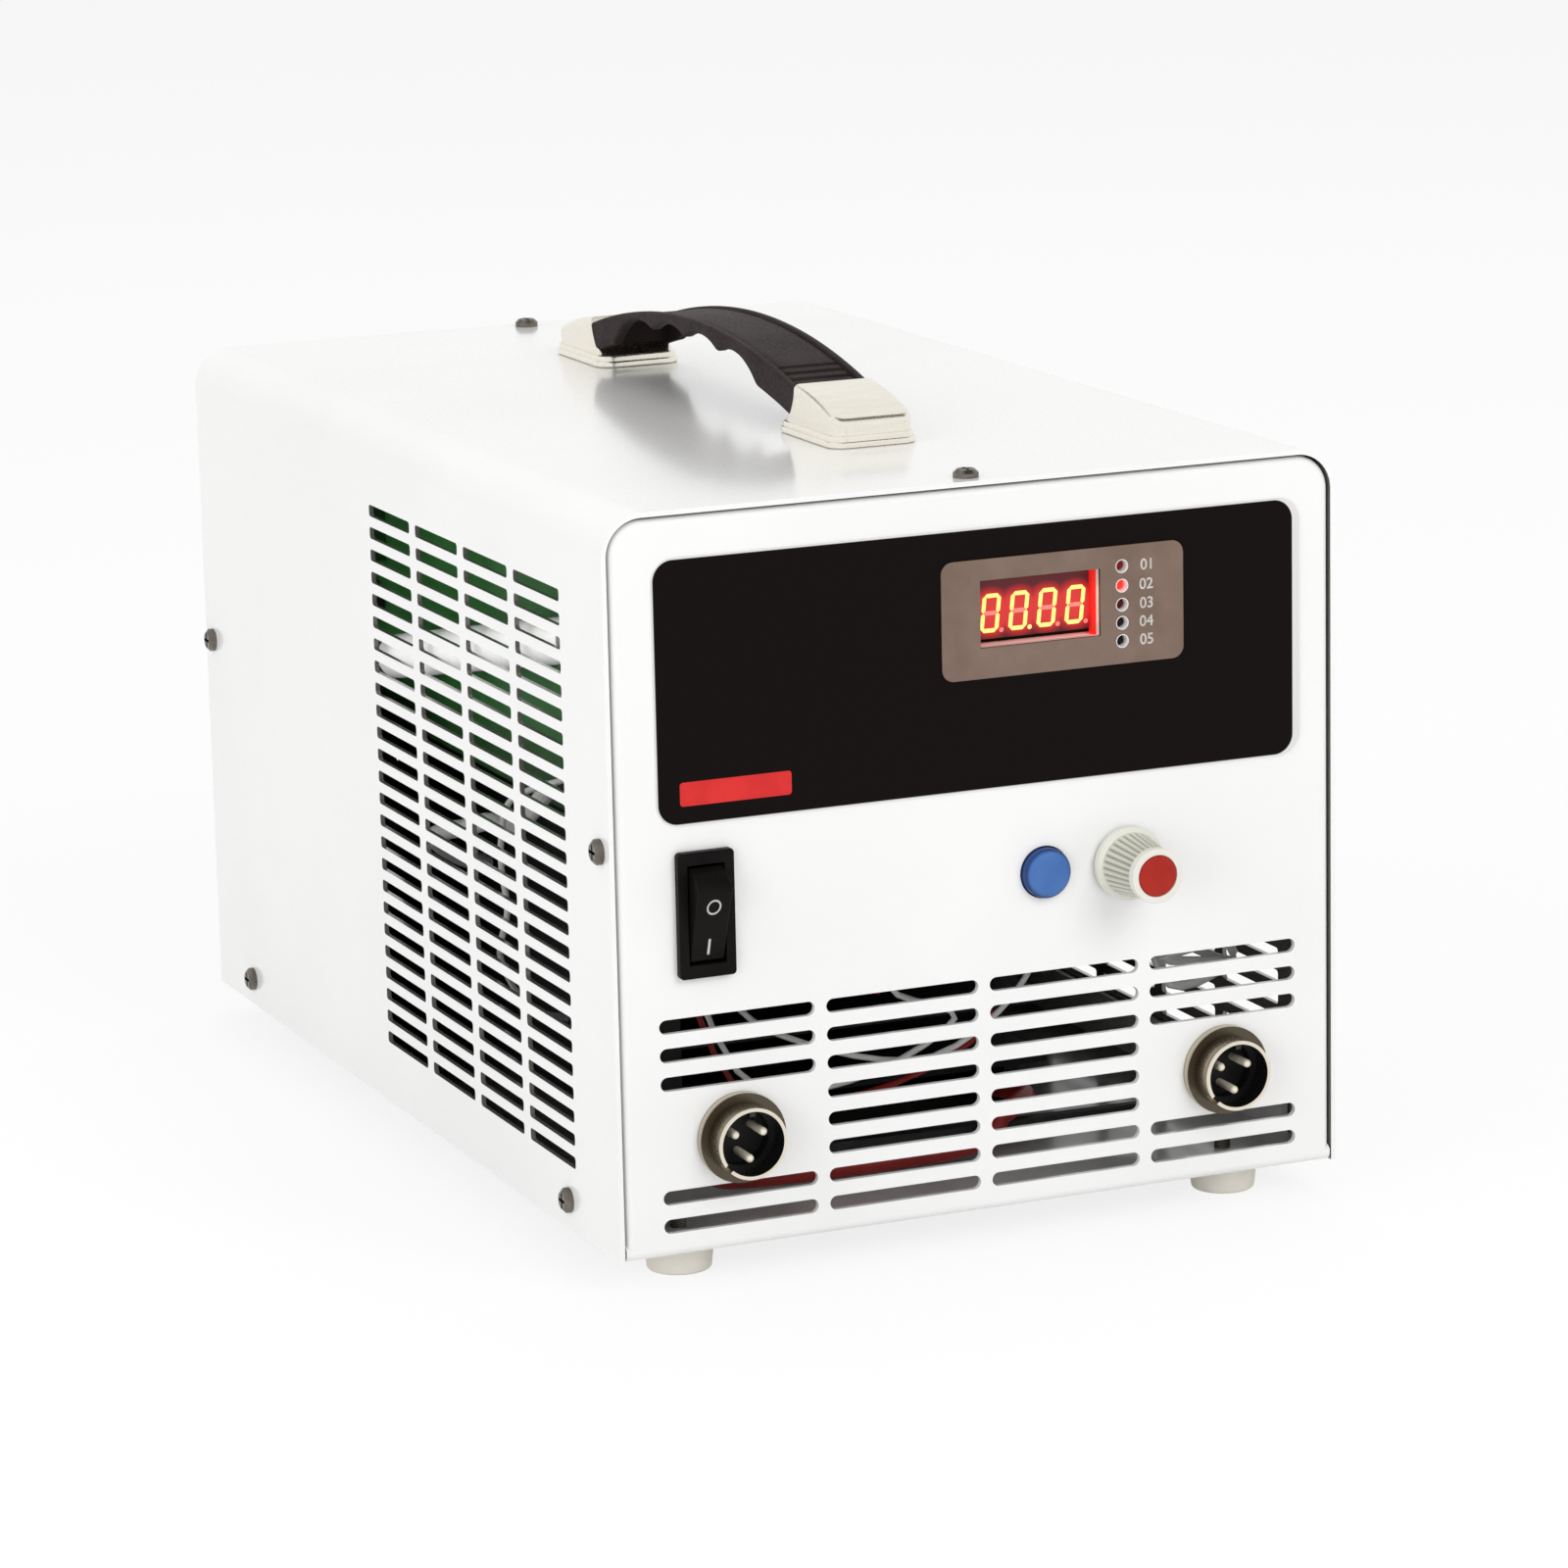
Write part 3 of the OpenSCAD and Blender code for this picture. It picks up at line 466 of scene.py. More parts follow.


# Painted shade: the slot walls and inner faces of the cover, and the inner rear wall and floor of the
# chassis, are stored as a number that darkens the white paint there.
for name in ("cover", "chassis"):
    sheet = nodes[name].data
    look_x, look_y, look_z = rows_of(sheet.polygons, "normal").T
    x, y, z = (rows_of(sheet.polygons, "center") - in_frame(0.0, 0.0, 0.0)).T / MM
    if name == "cover":
        painted_shade = (np.abs(look_x) < 0.5) & (np.abs(x) > 94) & (y > 20) & (y < 290) & (z > 5) & (z < 165)
        painted_shade |= (look_x * np.sign(x) < -0.5) & (np.abs(x) > 85)
        painted_shade |= (look_z < -0.5) & (z > 170)
    else:
        painted_shade = (look_y < -0.5) & (y > 280)
        painted_shade |= (look_z > 0.5) & (z < 5)
    store(sheet, "painted_shade", painted_shade, "FACE")
    print(name, "has", int(painted_shade.sum()), "bare faces")
tinted("cover_paint_with_shade", "white_paint", (0.16, 0.15, 0.14), "painted_shade")
tinted("chassis_paint_with_shade", "white_paint", (0.12, 0.11, 0.105), "painted_shade", FRONT_Y + 0.03)

SOCKET_X, SOCKET_Z, BORE_R = 64.0, 27.3, 7.84
tree, shader, where = blank("socket_nickel")
split = add_node(tree, "SeparateXYZ")
aside = add_node(tree, "Math", operation="ABSOLUTE")
off_axis = add_node(tree, "Math", {1: SOCKET_X * MM}, operation="SUBTRACT")
above = add_node(tree, "Math", {1: SOCKET_Z * MM + CASE_Z}, operation="SUBTRACT")
flat = add_node(tree, "CombineXYZ")
reached = add_node(tree, "VectorMath", operation="LENGTH")
in_bore = add_node(tree, "Math", {1: BORE_R * MM}, operation="LESS_THAN")
metal = add_node(tree, "Math", {1: BORE_R * MM}, operation="GREATER_THAN")
# Painted reflections and painted shade on the nickel: light and dark bands along the depth, brightest at
# the rim.
painted_reflections = ramp(tree, [(0.0, (0.8, 0.74, 0.62)), (0.06, (0.7, 0.64, 0.53)), (0.09, (0.12, 0.1, 0.07)),
                    (0.15, (0.36, 0.31, 0.23)), (0.4, (0.46, 0.4, 0.3)), (0.66, (0.22, 0.18, 0.13)),
                    (0.72, (0.09, 0.075, 0.055)), (0.76, (0.48, 0.42, 0.33)), (0.9, (0.6, 0.54, 0.44)),
                    (1.0, (0.28, 0.24, 0.18))])
blend = add_node(tree, "Mix", data_type="RGBA")
blend.inputs["B"].default_value = (0.004, 0.004, 0.004, 1.0)
chain(where, split)
chain(split.outputs["X"], aside, off_axis, flat.inputs["X"])
chain(split.outputs["Z"], above, flat.inputs["Z"])
chain(flat, reached)
chain(reached.outputs["Value"], in_bore, blend.inputs["Factor"])
chain(reached.outputs["Value"], metal, shader.inputs["Metallic"])
chain(measured(where, "Y", FRONT_Y - 0.0084, FRONT_Y), painted_reflections, blend.inputs["A"])
chain(blend.outputs["Result"], shader.inputs["Base Color"])
grained(shader, where, (0.16, 0.28), 2400, 0.05, 0.05)

tree, shader, where = blank("knob_cream", Specular_IOR_Level=0.3)
# Painted shade: the cone is darker than the skirt and the tip, and its grooves darker still by a stored
# number.
cone_shade_creams = ramp(tree, [(0.0, (0.78, 0.77, 0.7)), (0.15, (0.78, 0.77, 0.7)), (0.18, (0.64, 0.635, 0.55)),
                     (0.8, (0.68, 0.675, 0.59)), (0.83, (0.78, 0.77, 0.7)), (1.0, (0.74, 0.73, 0.66))])
chain(measured(where, "Y", FRONT_Y - 0.018, FRONT_Y), cone_shade_creams, shader.inputs["Base Color"])
grained(shader, where, (0.36, 0.48), 2200, 0.1, 0.05)
tinted("knob_cream", "knob_cream", (0.38, 0.375, 0.31), "groove_shade")
print("finishes that change over a piece are made")

# %% [markdown]
# The label is a clear film printed black from behind. The print stops short of the film's
# right edge and leaves a pale margin. Instead of a second mesh, the material measures how
# far a point lies outside a rounded rectangle: fold the plane about the centre, take away
# the half sizes without the corner radius, and what is left is the distance.

# %% Finish of the label film
def rounded_mask(where, centre, half, radius, soft=0.1):
    """0 inside and 1 outside a rounded rectangle in X and Z; sizes in millimetres of the case drawing."""
    tree, middle = where.id_data, in_frame(centre[0], 0.0, centre[1])
    folded = add_node(tree, "VectorMath", {1: tuple(middle)}, operation="SUBTRACT")
    mirrored = add_node(tree, "VectorMath", operation="ABSOLUTE")
    outside = add_node(tree, "VectorMath", operation="SUBTRACT")
    outside.inputs[1].default_value = ((half[0] - radius) * MM, 9.0, (half[1] - radius) * MM)
    clipped = add_node(tree, "VectorMath", {1: (0.0, 0.0, 0.0)}, operation="MAXIMUM")
    reached = add_node(tree, "VectorMath", operation="LENGTH")
    edge = remap(tree, (radius - soft) * MM, (radius + soft) * MM)
    chain(where, folded, mirrored, outside, clipped, reached)
    chain(reached.outputs["Value"], edge)
    return edge.outputs[0]


tree, shader, where = blank("overlay_black", Specular_IOR_Level=0.05)
print_edge = rounded_mask(where, (0.2, 135.25), (82.9, 31.2), 5.0)
label_colours = ramp(tree, [(0.0, (0.006, 0.004, 0.004)), (1.0, (0.72, 0.72, 0.7))])
chain(print_edge, label_colours, shader.inputs["Base Color"])
grained(shader, where, (0.42, 0.52), 2600, 0.06, 0.02)
print("label finish made")

# %% [markdown]
# The display is a red moulded block with four digits of seven bars each. Behind lit bars
# the red filter glows, most at the middle of each digit and hardly at the upper and lower
# strips. A picture of the glow would be fixed in size, so it is computed from the place on
# the block: a wrapped X gives the distance to the nearest digit, Z the distance to the row
# of digits, and a ramp turns the two into colour.

# %% Finish of the display block
DIGIT_X, DIGIT_Z, PITCH, GLOW_REACH = 16.05, 145.25, 7.4, 7.0
third_x, row_z = DIGIT_X + 0.5 * PITCH, DIGIT_Z * MM + CASE_Z
tree, shader, where = blank("display_red", Specular_IOR_Level=0.3, Emission_Strength=1.0,
                            Base_Color=(0.06, 0.004, 0.004, 1.0))
split = add_node(tree, "SeparateXYZ")
near_x = add_node(tree, "Math", {1: (third_x + PITCH / 2) * MM, 2: (third_x - PITCH / 2) * MM},
                  operation="WRAP")
scaled = add_node(tree, "CombineXYZ")
off_x = remap(tree, (third_x - GLOW_REACH) * MM, (third_x + GLOW_REACH) * MM, -1.0)
off_z = remap(tree, row_z - GLOW_REACH * MM, row_z + GLOW_REACH * MM, -1.0, clamp=False)
far = add_node(tree, "VectorMath", operation="LENGTH")
heat = ramp(tree, [(0.0, (0.7, 0.04, 0.034)), (0.6, (0.66, 0.03, 0.028)),
                   (0.78, (0.34, 0.01, 0.014)), (0.95, (0.05, 0.006, 0.009))])
chain(where, split)
chain(split.outputs["X"], near_x, off_x, scaled.inputs["X"])
chain(split.outputs["Z"], off_z, scaled.inputs["Z"])
chain(scaled, far)
chain(far.outputs["Value"], heat, shader.inputs["Emission Color"])
grained(shader, where, (0.3, 0.4), 2400, 0.05, 0.02)
print("display finish made")

# %% [markdown]
# The bars of the digits are thin hexagonal prisms with a light of their own. They could be
# letters of a display font, but a bar is only six corners, and it then has the right lean
# and the right gaps. Six bars of each digit are lit, and the middle one is dim.

# %% Digits of the display
def prisms(outlines, y_front, y_back):
    """Flat outlines (count, corners, 2) in X and Z, each made a closed slab between two depths."""
    count, n = outlines.shape[:2]
    x, z = outlines[..., 0], outlines[..., 1]
    points = np.stack([in_frame(x, y_front, z), in_frame(x, y_back, z)], axis=1)
    start = 2 * n * np.arange(count)[:, None]
    loop = np.arange(n)
    fronts = start + loop
    backs = start + n + loop[::-1]
    sides = np.stack([loop, loop + n, (loop + 1) % n + n, (loop + 1) % n], -1)
    walls = (start[:, :, None] + sides[None]).reshape(-1, 4)
    return points.reshape(-1, 3), fronts.tolist() + backs.tolist() + walls.tolist()


def bar(length, thick):
    """A hexagonal bar along X: straight edges, and tips that come to a point."""
    a, b = length / 2, thick / 2
    return np.array([[-a, 0], [b - a, -b], [a - b, -b], [a, 0], [a - b, b], [b - a, b]])


DIGIT_W, DIGIT_H, STROKE, SLANT, GAP = 4.8, 9.3, 0.98, 0.11, 0.12
HALF_W, HALF_H = (DIGIT_W - STROKE) / 2, (DIGIT_H - STROKE) / 2
lying = bar(2 * HALF_W - GAP, STROKE)
standing = bar(HALF_H - GAP, STROKE)[:, ::-1]
edge_bars = np.concatenate([lying + np.array([[[0, HALF_H]], [[0, -HALF_H]]]),
                            standing + np.array([[[x, z]] for x in (-HALF_W, HALF_W)
                                                 for z in (-HALF_H / 2, HALF_H / 2)])])
digit_xs = DIGIT_X + PITCH * np.array([-1.5, -0.5, 0.5, 1.5])
spin = once_round(20)
dot = np.stack([0.55 * np.cos(spin) + HALF_W + 1.35, 0.55 * np.sin(spin) - HALF_H - 0.1], -1)


def at_digits(shapes, which):
    """The same shapes leaned by the slant and set at the chosen digits."""
    leaned = shapes + shapes[..., 1:] * [SLANT, 0.0]
    moves = np.stack([digit_xs[which], np.full(len(which), DIGIT_Z)], -1)
    return (leaned[None] + moves[:, None, None]).reshape(-1, shapes.shape[-2], 2)


def glowing(name, colour, strength):
    """A lit plastic: its light is a little stronger in the middle of a slow noise."""
    tree, shader, where = blank(name, Specular_IOR_Level=0.2, Roughness=0.4, Emission_Strength=strength)
    cloud = add_node(tree, "TexNoise", {"Scale": 500.0, "Detail": 1.0})
    tint = ramp(tree, [(0.3, tuple(0.93 * c for c in colour)), (0.7, colour)])
    chain(where, cloud, tint, shader.inputs["Emission Color"])
    chain(tint, shader.inputs["Base Color"])


BAR_FRONT, BAR_BACK = 3.9, 4.05
glowing("bar_lit", (1.0, 0.62, 0.17), 1.0)
glowing("bar_dim", (0.76, 0.16, 0.13), 0.9)
for name, shapes, which, finish in (("digit_bars", edge_bars, [0, 1, 2, 3], "bar_lit"),
                                    ("digit_middle_bars", lying[None], [0, 1, 2, 3], "bar_dim"),
                                    ("decimal_dot", dot[None], [1], "bar_lit"),
                                    ("unlit_dots", dot[None], [0, 2, 3], "bar_dim")):
    add_piece(name, *prisms(at_digits(shapes, which), BAR_FRONT, BAR_BACK), finish, "case", "display_red")

# %% [markdown]
# Five small lamps stand in a column beside the digits. They are one piece, so the ramp
# picks a colour by height: constant steps change half way between two lamps. One lamp is
# lit, its neighbours are dark red lenses. The white baffle round the window takes the red
# light of the digits on its right wall, which one more ramp along X paints as a glow.

# %% Finishes of the lamps and the baffle
tree, shader, where = blank("lamp_red", Roughness=0.5, Specular_IOR_Level=0.15, Emission_Strength=1.0)
height = measured(where, "Z", 0.134 + CASE_Z, 0.157 + CASE_Z)
lens_colours = ramp(tree, [(0.0, (0.008, 0.004, 0.004)), (0.19, (0.012, 0.004, 0.005)),
                           (0.38, (0.05, 0.004, 0.007)), (0.58, (0.6, 0.02, 0.015)),
                           (0.78, (0.13, 0.007, 0.007))], "CONSTANT")
lens_light = ramp(tree, [(0.0, (0.0, 0.0, 0.0)), (0.38, (0.03, 0.0, 0.002)),
                         (0.58, (0.75, 0.03, 0.02)), (0.78, (0.07, 0.002, 0.002))], "CONSTANT")
chain(height, lens_colours, shader.inputs["Base Color"])
chain(height, lens_light, shader.inputs["Emission Color"])

tree, shader, where = blank("baffle_white", Roughness=0.45, Emission_Strength=1.0)
across = measured(where, "X", -0.004, 0.036)
wall_glow = ramp(tree, [(0.0, (0.0, 0.0, 0.0)), (0.09, (0.1, 0.008, 0.01)), (0.5, (0.16, 0.012, 0.014)),
                        (0.86, (0.3, 0.01, 0.012)), (0.885, (0.58, 0.012, 0.008)),
                        (0.9, (0.0, 0.0, 0.0))])
# Painted light in the base colour too: the baffle's white turns pink where the digits light it and red on
# its right wall.
red_lit_whites = ramp(tree, [(0.0, (0.84, 0.83, 0.81)), (0.09, (0.8, 0.62, 0.6)), (0.84, (0.8, 0.66, 0.64)),
                     (0.875, (0.62, 0.03, 0.025)), (0.895, (0.62, 0.03, 0.025)),
                     (0.92, (0.88, 0.87, 0.85))])
chain(across, wall_glow, shader.inputs["Emission Color"])
chain(across, red_lit_whites, shader.inputs["Base Color"])

LAMP_X, LAMP_ZS = 37.2, np.array([154.3, 149.6, 145.0, 140.6, 136.2])
TURNS = 48
round_t = once_round(TURNS)


def at_lamps(name, y, r, closed, slot):
    """One profile of depths y and radii r, turned at each of the five lamps."""
    y, r = np.array(y)[None, :, None], np.array(r)[None, :, None]
    points = in_frame(LAMP_X + r * np.cos(round_t), y, LAMP_ZS[:, None, None] + r * np.sin(round_t))
    rings = grid_faces(r.size, TURNS, closed, True)
    faces = np.concatenate([rings + r.size * TURNS * k for k in range(len(LAMP_ZS))])
    add_piece(name, points, faces, slot, "case", slot)


LENS_R, LENS_Y, LENS_END = 1.2, 1.3, 3.6
at_lamps("lamp_rims", [-1.0, -1.05, -1.05, 1.6, 1.6, -1.0], [1.66, 1.62, 1.48, 1.24, 1.48, 1.48], True,
         "white_plastic")
dome = np.radians(np.linspace(0, 90, 9))
at_lamps("lamp_lenses", np.append(LENS_Y - LENS_R * np.cos(dome), LENS_END),
         np.append(LENS_R * np.sin(dome), LENS_R), False, "lamp_red")
print("lamps and baffle finished")

# %% [markdown]
# Every CAD node takes the finish of its record slot. Four take one of their own: the
# baffle with its painted glow, the two sheets with their painted shade and the black heat sink.

# %% Give the nodes their finishes
own = {"display_baffle": "baffle_white", "cover": "cover_paint_with_shade", "chassis": "chassis_paint_with_shade",
       "heat_sink": "black_anodised"}
for name, node in nodes.items():
    node.material_slots[0].material = finishes[own.get(name, slot_of[name])]
print("finished nodes:", len(nodes))

# %% [markdown]
# The grip is a moulded arch: two raised rims run along its edges, three grooves cross its
# top near each end, four finger scallops are cut into its walls, and it is hollow below. It
# could be cut from solids, as in the frame, but rounded edges along a curved form are easier
# as a loft: one closed section is carried along the arch, and its top and bottom heights are
# functions of the place along it.

# %% Handle grip
MIDDLE_Y, ARCH_R, ARCH_Z = 150.0, 252.0, -53.5
HALF_GRIP, HALF_WIDTH, WALL_H, SEAT_Z = 73.5, 10.5, 7.8, 181.2
GROOVE_R, RIM_H, RIM_EDGE, LOW_EDGE = 0.95, 0.6, 0.9, 1.0
SCALLOP_R, SCALLOP_Z, SCALLOP_STEP, SCALLOP_SHIFT = 24.0, 171.6, 20, 3.5
HOLLOW_END, HOLLOW_FADE, SHELL, LIP = 60.5, 0.8, 2.0, 0.9
groove_at = (ARCH_R - RIM_H) * np.sin(np.radians(np.array([12.0, 12.95, 13.9])))
groove_at = np.concatenate([-groove_at, groove_at])
near_grooves = (groove_at[:, None] + np.linspace(-1.1, 1.1, 27)).ravel()
hollow_ends = np.linspace(HOLLOW_END - HOLLOW_FADE, HOLLOW_END, 5)
along = np.linspace(-HALF_GRIP, HALF_GRIP, 421)
along = np.unique(np.concatenate([along, near_grooves, hollow_ends, -hollow_ends]).round(4))


def grip_heights(s):
    """Top of the arch, its floor sunk by grooves, the walls' lower edge and the ceiling of the hollow.

    The lower edge is the highest of the arch less the wall, the scallops and the caps' level,
    joined softly: the logarithm of the sum of their exponentials.
    """
    top = ARCH_Z + np.sqrt(ARCH_R**2 - s**2)
    grooves = np.sqrt(np.clip(GROOVE_R**2 - (s[:, None] - groove_at)**2, 0, None)).max(1)
    i = np.array([-1.5, -0.5, 0.5, 1.5])
    reach = np.clip(SCALLOP_R**2 - (s[:, None] - SCALLOP_STEP * i - SCALLOP_SHIFT)**2, 0, None)
    scallops = SCALLOP_Z - 0.75 * i**2 + np.sqrt(reach)
    levels = np.concatenate([scallops, (top - WALL_H)[:, None], np.full((len(s), 1), SEAT_Z)], axis=1)
    sharp = 3.0
    peak = levels.max(1, keepdims=True)
    bottom = peak[:, 0] + np.log(np.exp(sharp * (levels - peak)).sum(1)) / sharp - 0.12
    bottom = np.maximum(bottom, SEAT_Z)
    inside = np.clip((HOLLOW_END - np.abs(s)) / HOLLOW_FADE, 0, 1)
    return top, top - RIM_H - grooves, bottom, bottom + LIP + inside * (top - SHELL - bottom - LIP)


def arc(x, z, radius, start, stop, count=6):
    """Points on part of a circle, angles in degrees."""
    t = np.radians(np.linspace(start, stop, count))
    return np.stack([x + radius * np.cos(t), z + radius * np.sin(t)], -1)


def other_side(half):
    """The second half of a section: x changes its sign and the order turns round."""
    return (half * [-1, 1])[::-1]


top, sunk, bottom, ceiling = grip_heights(along)
rim = np.concatenate([arc(RIM_EDGE - HALF_WIDTH, -RIM_EDGE, RIM_EDGE, 180, 90),
                      [[-8.9, 0.0], [-8.72, -0.05], [-8.6, -0.16]]])
bed_x = np.concatenate([[-8.42, -8.1], np.linspace(-7.6, 7.6, 9), [8.1, 8.42]])
bed = np.stack([bed_x, np.where(np.abs(bed_x) > 8.0, -0.3, 0.0)], -1)
wall = np.concatenate([arc(HALF_WIDTH - LOW_EDGE, LOW_EDGE, LOW_EDGE, 0, -90),
                       [[8.2, 0.0], [8.0, 0.08], [7.92, 0.28]]])
hollow_right = np.array([[7.9, -0.6], [7.7, -0.2], [7.3, 0.0]])
hollow = np.concatenate([hollow_right, [[0.0, 0.0]], other_side(hollow_right)])
parts = [(top, rim), (sunk, bed), (top, other_side(rim)),
         (bottom, wall), (ceiling, hollow), (bottom, other_side(wall))]
section_x = np.concatenate([shape[:, 0] for level, shape in parts])
section_z = np.concatenate([level[:, None] + shape[:, 1] for level, shape in parts], axis=1)
grip_points = in_frame(section_x[None, :], (MIDDLE_Y + along)[:, None], section_z)
grip = add_piece("grip_moulding", grip_points, tube_faces(*section_z.shape), "grip_plastic",
                 "case", "grip_plastic", 50)
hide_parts("handle_grip")

# %% [markdown]
# Each end cap is a cushion on a stepped foot. Its outline is a rounded rectangle, and the
# cap is a stack of such outlines, each a little smaller than the one below. The lower ones
# lie flat and make the two steps. The upper ones follow the cap's back, an arc of radius
# 90 that ends in a hollow where the grip goes in, so the edge between is round everywhere.

# %% Handle caps
CAP_W, CAP_L, CAP_TOP, CAP_CORNER, CAP_FOOT = 23.6, 35.0, 178.0, 4.5, 3.1
BACK_R, BACK_Z, BACK_AT = 90.0, -76.9, 34.4
DIP_R, DIP_Z, DIP_AT, DIP_START = 13.0, 14.5, 38.5, 25.63
FOOT_IN, ROUND_R = 1.1, 1.5


def cap_back(s):
    """Height of the cap at s millimetres from its outer end: its arched back, or the hollow if lower."""
    back = BACK_Z + np.sqrt(BACK_R**2 - (s - BACK_AT)**2)
    dip = DIP_Z - np.sqrt(np.clip(DIP_R**2 - (s - DIP_AT)**2, 0, None))
    return np.maximum(np.minimum(back, dip), CAP_FOOT)


def cap_outline(inset):
    """A rounded rectangle in x and s, as many points for every inset, one where the hollow starts."""
    a, b, r = CAP_W / 2 - inset, CAP_L / 2 - inset, max(CAP_CORNER - inset, 0.0)
    corners = [arc(x, s, r, turn, turn + 90, 9) for x, s, turn in
               ((a - r, b - r, 0), (r - a, b - r, 90), (r - a, r - b, 180), (a - r, r - b, 270))]
    fold = min(DIP_START - CAP_L / 2, b - r)
    down = np.concatenate([np.linspace(b - r, fold, 40), np.linspace(fold, r - b, 60)[1:]])
    short = np.linspace(a - r, r - a, 24)
    sides = [np.stack([short, 0 * short + b], -1), np.stack([0 * down - a, down], -1),
             np.stack([-short, 0 * short - b], -1), np.stack([0 * down + a, down[::-1]], -1)]
    loop = [part for k in range(4) for part in (corners[k][:-1], sides[k][:-1])]
    return np.concatenate(loop) + [0.0, CAP_L / 2]


flat_steps = [(0.3, 0.02), (0.0, 0.25), (0.0, 1.25), (0.12, 1.5), (0.5, 1.6), (0.5, 2.6), (0.62, 2.9),
              (FOOT_IN, 3.05)]
loops = [np.insert(cap_outline(inset), 2, z, axis=1) for inset, z in flat_steps]
for t in np.radians(np.linspace(0, 90, 8)):
    loop = cap_outline(FOOT_IN + ROUND_R * (1 - np.cos(t)))
    back = cap_back(loop[:, 1]) - ROUND_R * (1 - np.sin(t))
    loops.append(np.insert(loop, 2, np.maximum(back, CAP_FOOT - 0.04), axis=1))
for inset in np.append(np.linspace(3.4, 9.37, 6), [10.2, 11.0, CAP_W / 2]):
    loop = cap_outline(inset)
    loops.append(np.insert(loop, 2, cap_back(loop[:, 1]), axis=1))
cap_grid = np.stack(loops)
rows, cols = cap_grid.shape[:2]
cap_rings = grid_faces(rows, cols, wrap_cols=True).tolist() + [list(range(cols))]
cap_x, cap_s, cap_z = np.moveaxis(cap_grid, -1, 0)
cap_points = np.stack([in_frame(cap_x, y, CAP_TOP + cap_z) for y in (56.5 + cap_s, 243.5 - cap_s)])
cap_faces = cap_rings + [[k + rows * cols for k in face] for face in cap_rings]
caps = add_piece("cap_cushions", cap_points, cap_faces, "satin_nickel", "case", "satin_nickel", 50)
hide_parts("handle_caps")

# %% [markdown]
# Turned parts are profiles carried round an axis. A profile is a short list of corners,
# and each corner is replaced by a small curve, because a moulded edge is never sharp and
# the highlight on it is what makes the part look real. The knob adds flutes: its radius
# sinks in thirty soft grooves that fade out at both ends of the cone.

# %% Knob, its cap and the push button
def softened(profile, radius, count=4):
    """Corners of an open profile (y, r) cut back by radius and rounded with a quadratic curve."""
    p = np.asarray(profile, float)
    before, corner, after = p[:-2], p[1:-1], p[2:]
    to_b, to_a = before - corner, after - corner
    len_b, len_a = (np.linalg.norm(v, axis=1, keepdims=True) for v in (to_b, to_a))
    cut = np.minimum(radius, 0.45 * np.minimum(len_b, len_a))
    first, last = corner + to_b / len_b * cut, corner + to_a / len_a * cut
    t = np.linspace(0, 1, count)[None, :, None]
    bends = (1 - t)**2 * first[:, None] + 2 * t * (1 - t) * corner[:, None] + t**2 * last[:, None]
    return np.concatenate([p[:1], bends.reshape(-1, 2), p[-1:]])


def dense(profile, step):
    """Adds points along a profile so that none are further apart than step."""
    p = np.asarray(profile, float)
    gaps = np.linalg.norm(np.diff(p, axis=0), axis=1)
    reach = np.concatenate([[0], np.cumsum(gaps)])
    marks = np.unique(np.concatenate([reach, np.arange(0, reach[-1], step)]).round(6))
    return np.stack([np.interp(marks, reach, p[:, k]) for k in (0, 1)], -1)


def turned(name, profile, centre, finish, body, slot, turns=72, flute=None):
    """The profile (y, r) carried round an axis along Y; flute(y, r, angle) may change the radius."""
    angle = once_round(turns)
    y, r = profile.T[..., None]
    radius = r + flute(y, r, angle) if flute else r
    points = in_frame(centre[0] + radius * np.cos(angle), y, centre[1] + radius * np.sin(angle))
    return add_piece(name, points, grid_faces(len(profile), turns, wrap_cols=True), finish, body, slot)


KNOB_AT, BUTTON_AT, FLUTES, FLUTE_D = (38.0, 82.0), (16.4, 81.9), 30, 0.45
CONE_Y, CONE_R, CONE_L, CONE_RISE = -14.8, 6.25, 11.8, 1.65


def cone_radius(y):
    """Radius of the knob's cone at depth y."""
    return CONE_R + (y - CONE_Y) * CONE_RISE / CONE_L


def knob_flute(y, r, angle):
    """Thirty grooves on the cone, fading out before its ends."""
    fade = np.clip((y + 14.7) / 0.5, 0, 1) * np.clip((-3.3 - y) / 0.6, 0, 1)
    on_cone = np.abs(r - cone_radius(y)) < 0.05
    return -FLUTE_D * fade * on_cone * (0.5 + 0.5 * np.cos(FLUTES * angle))**2


def about_axis(piece, centre):
    """Depth and distance from the axis of all points of a turned piece, in millimetres."""
    x, y, z = ((rows_of(piece.data.vertices, "co") - in_frame(centre[0], 0.0, centre[1])) / MM).T
    return y, np.hypot(x, z)


knob_corners = [(-15.6, 0), (-15.6, 5.06), (-17.2, 5.06), (-17.2, 6.65), (CONE_Y, 6.65), (CONE_Y, CONE_R),
                (-3, 7.9), (-3, 8.9), (-1, 8.9), (-1, 6.7), (-6.4, 6.7), (-6.4, 3.0), (-14, 3.0),
                (-14, 0)]
knob = turned("knob_fluted", dense(softened(knob_corners, 0.25), 0.6), KNOB_AT, "knob_cream",
              "set_knob", "knob_cream", 360, knob_flute)
y, r = about_axis(knob, KNOB_AT)
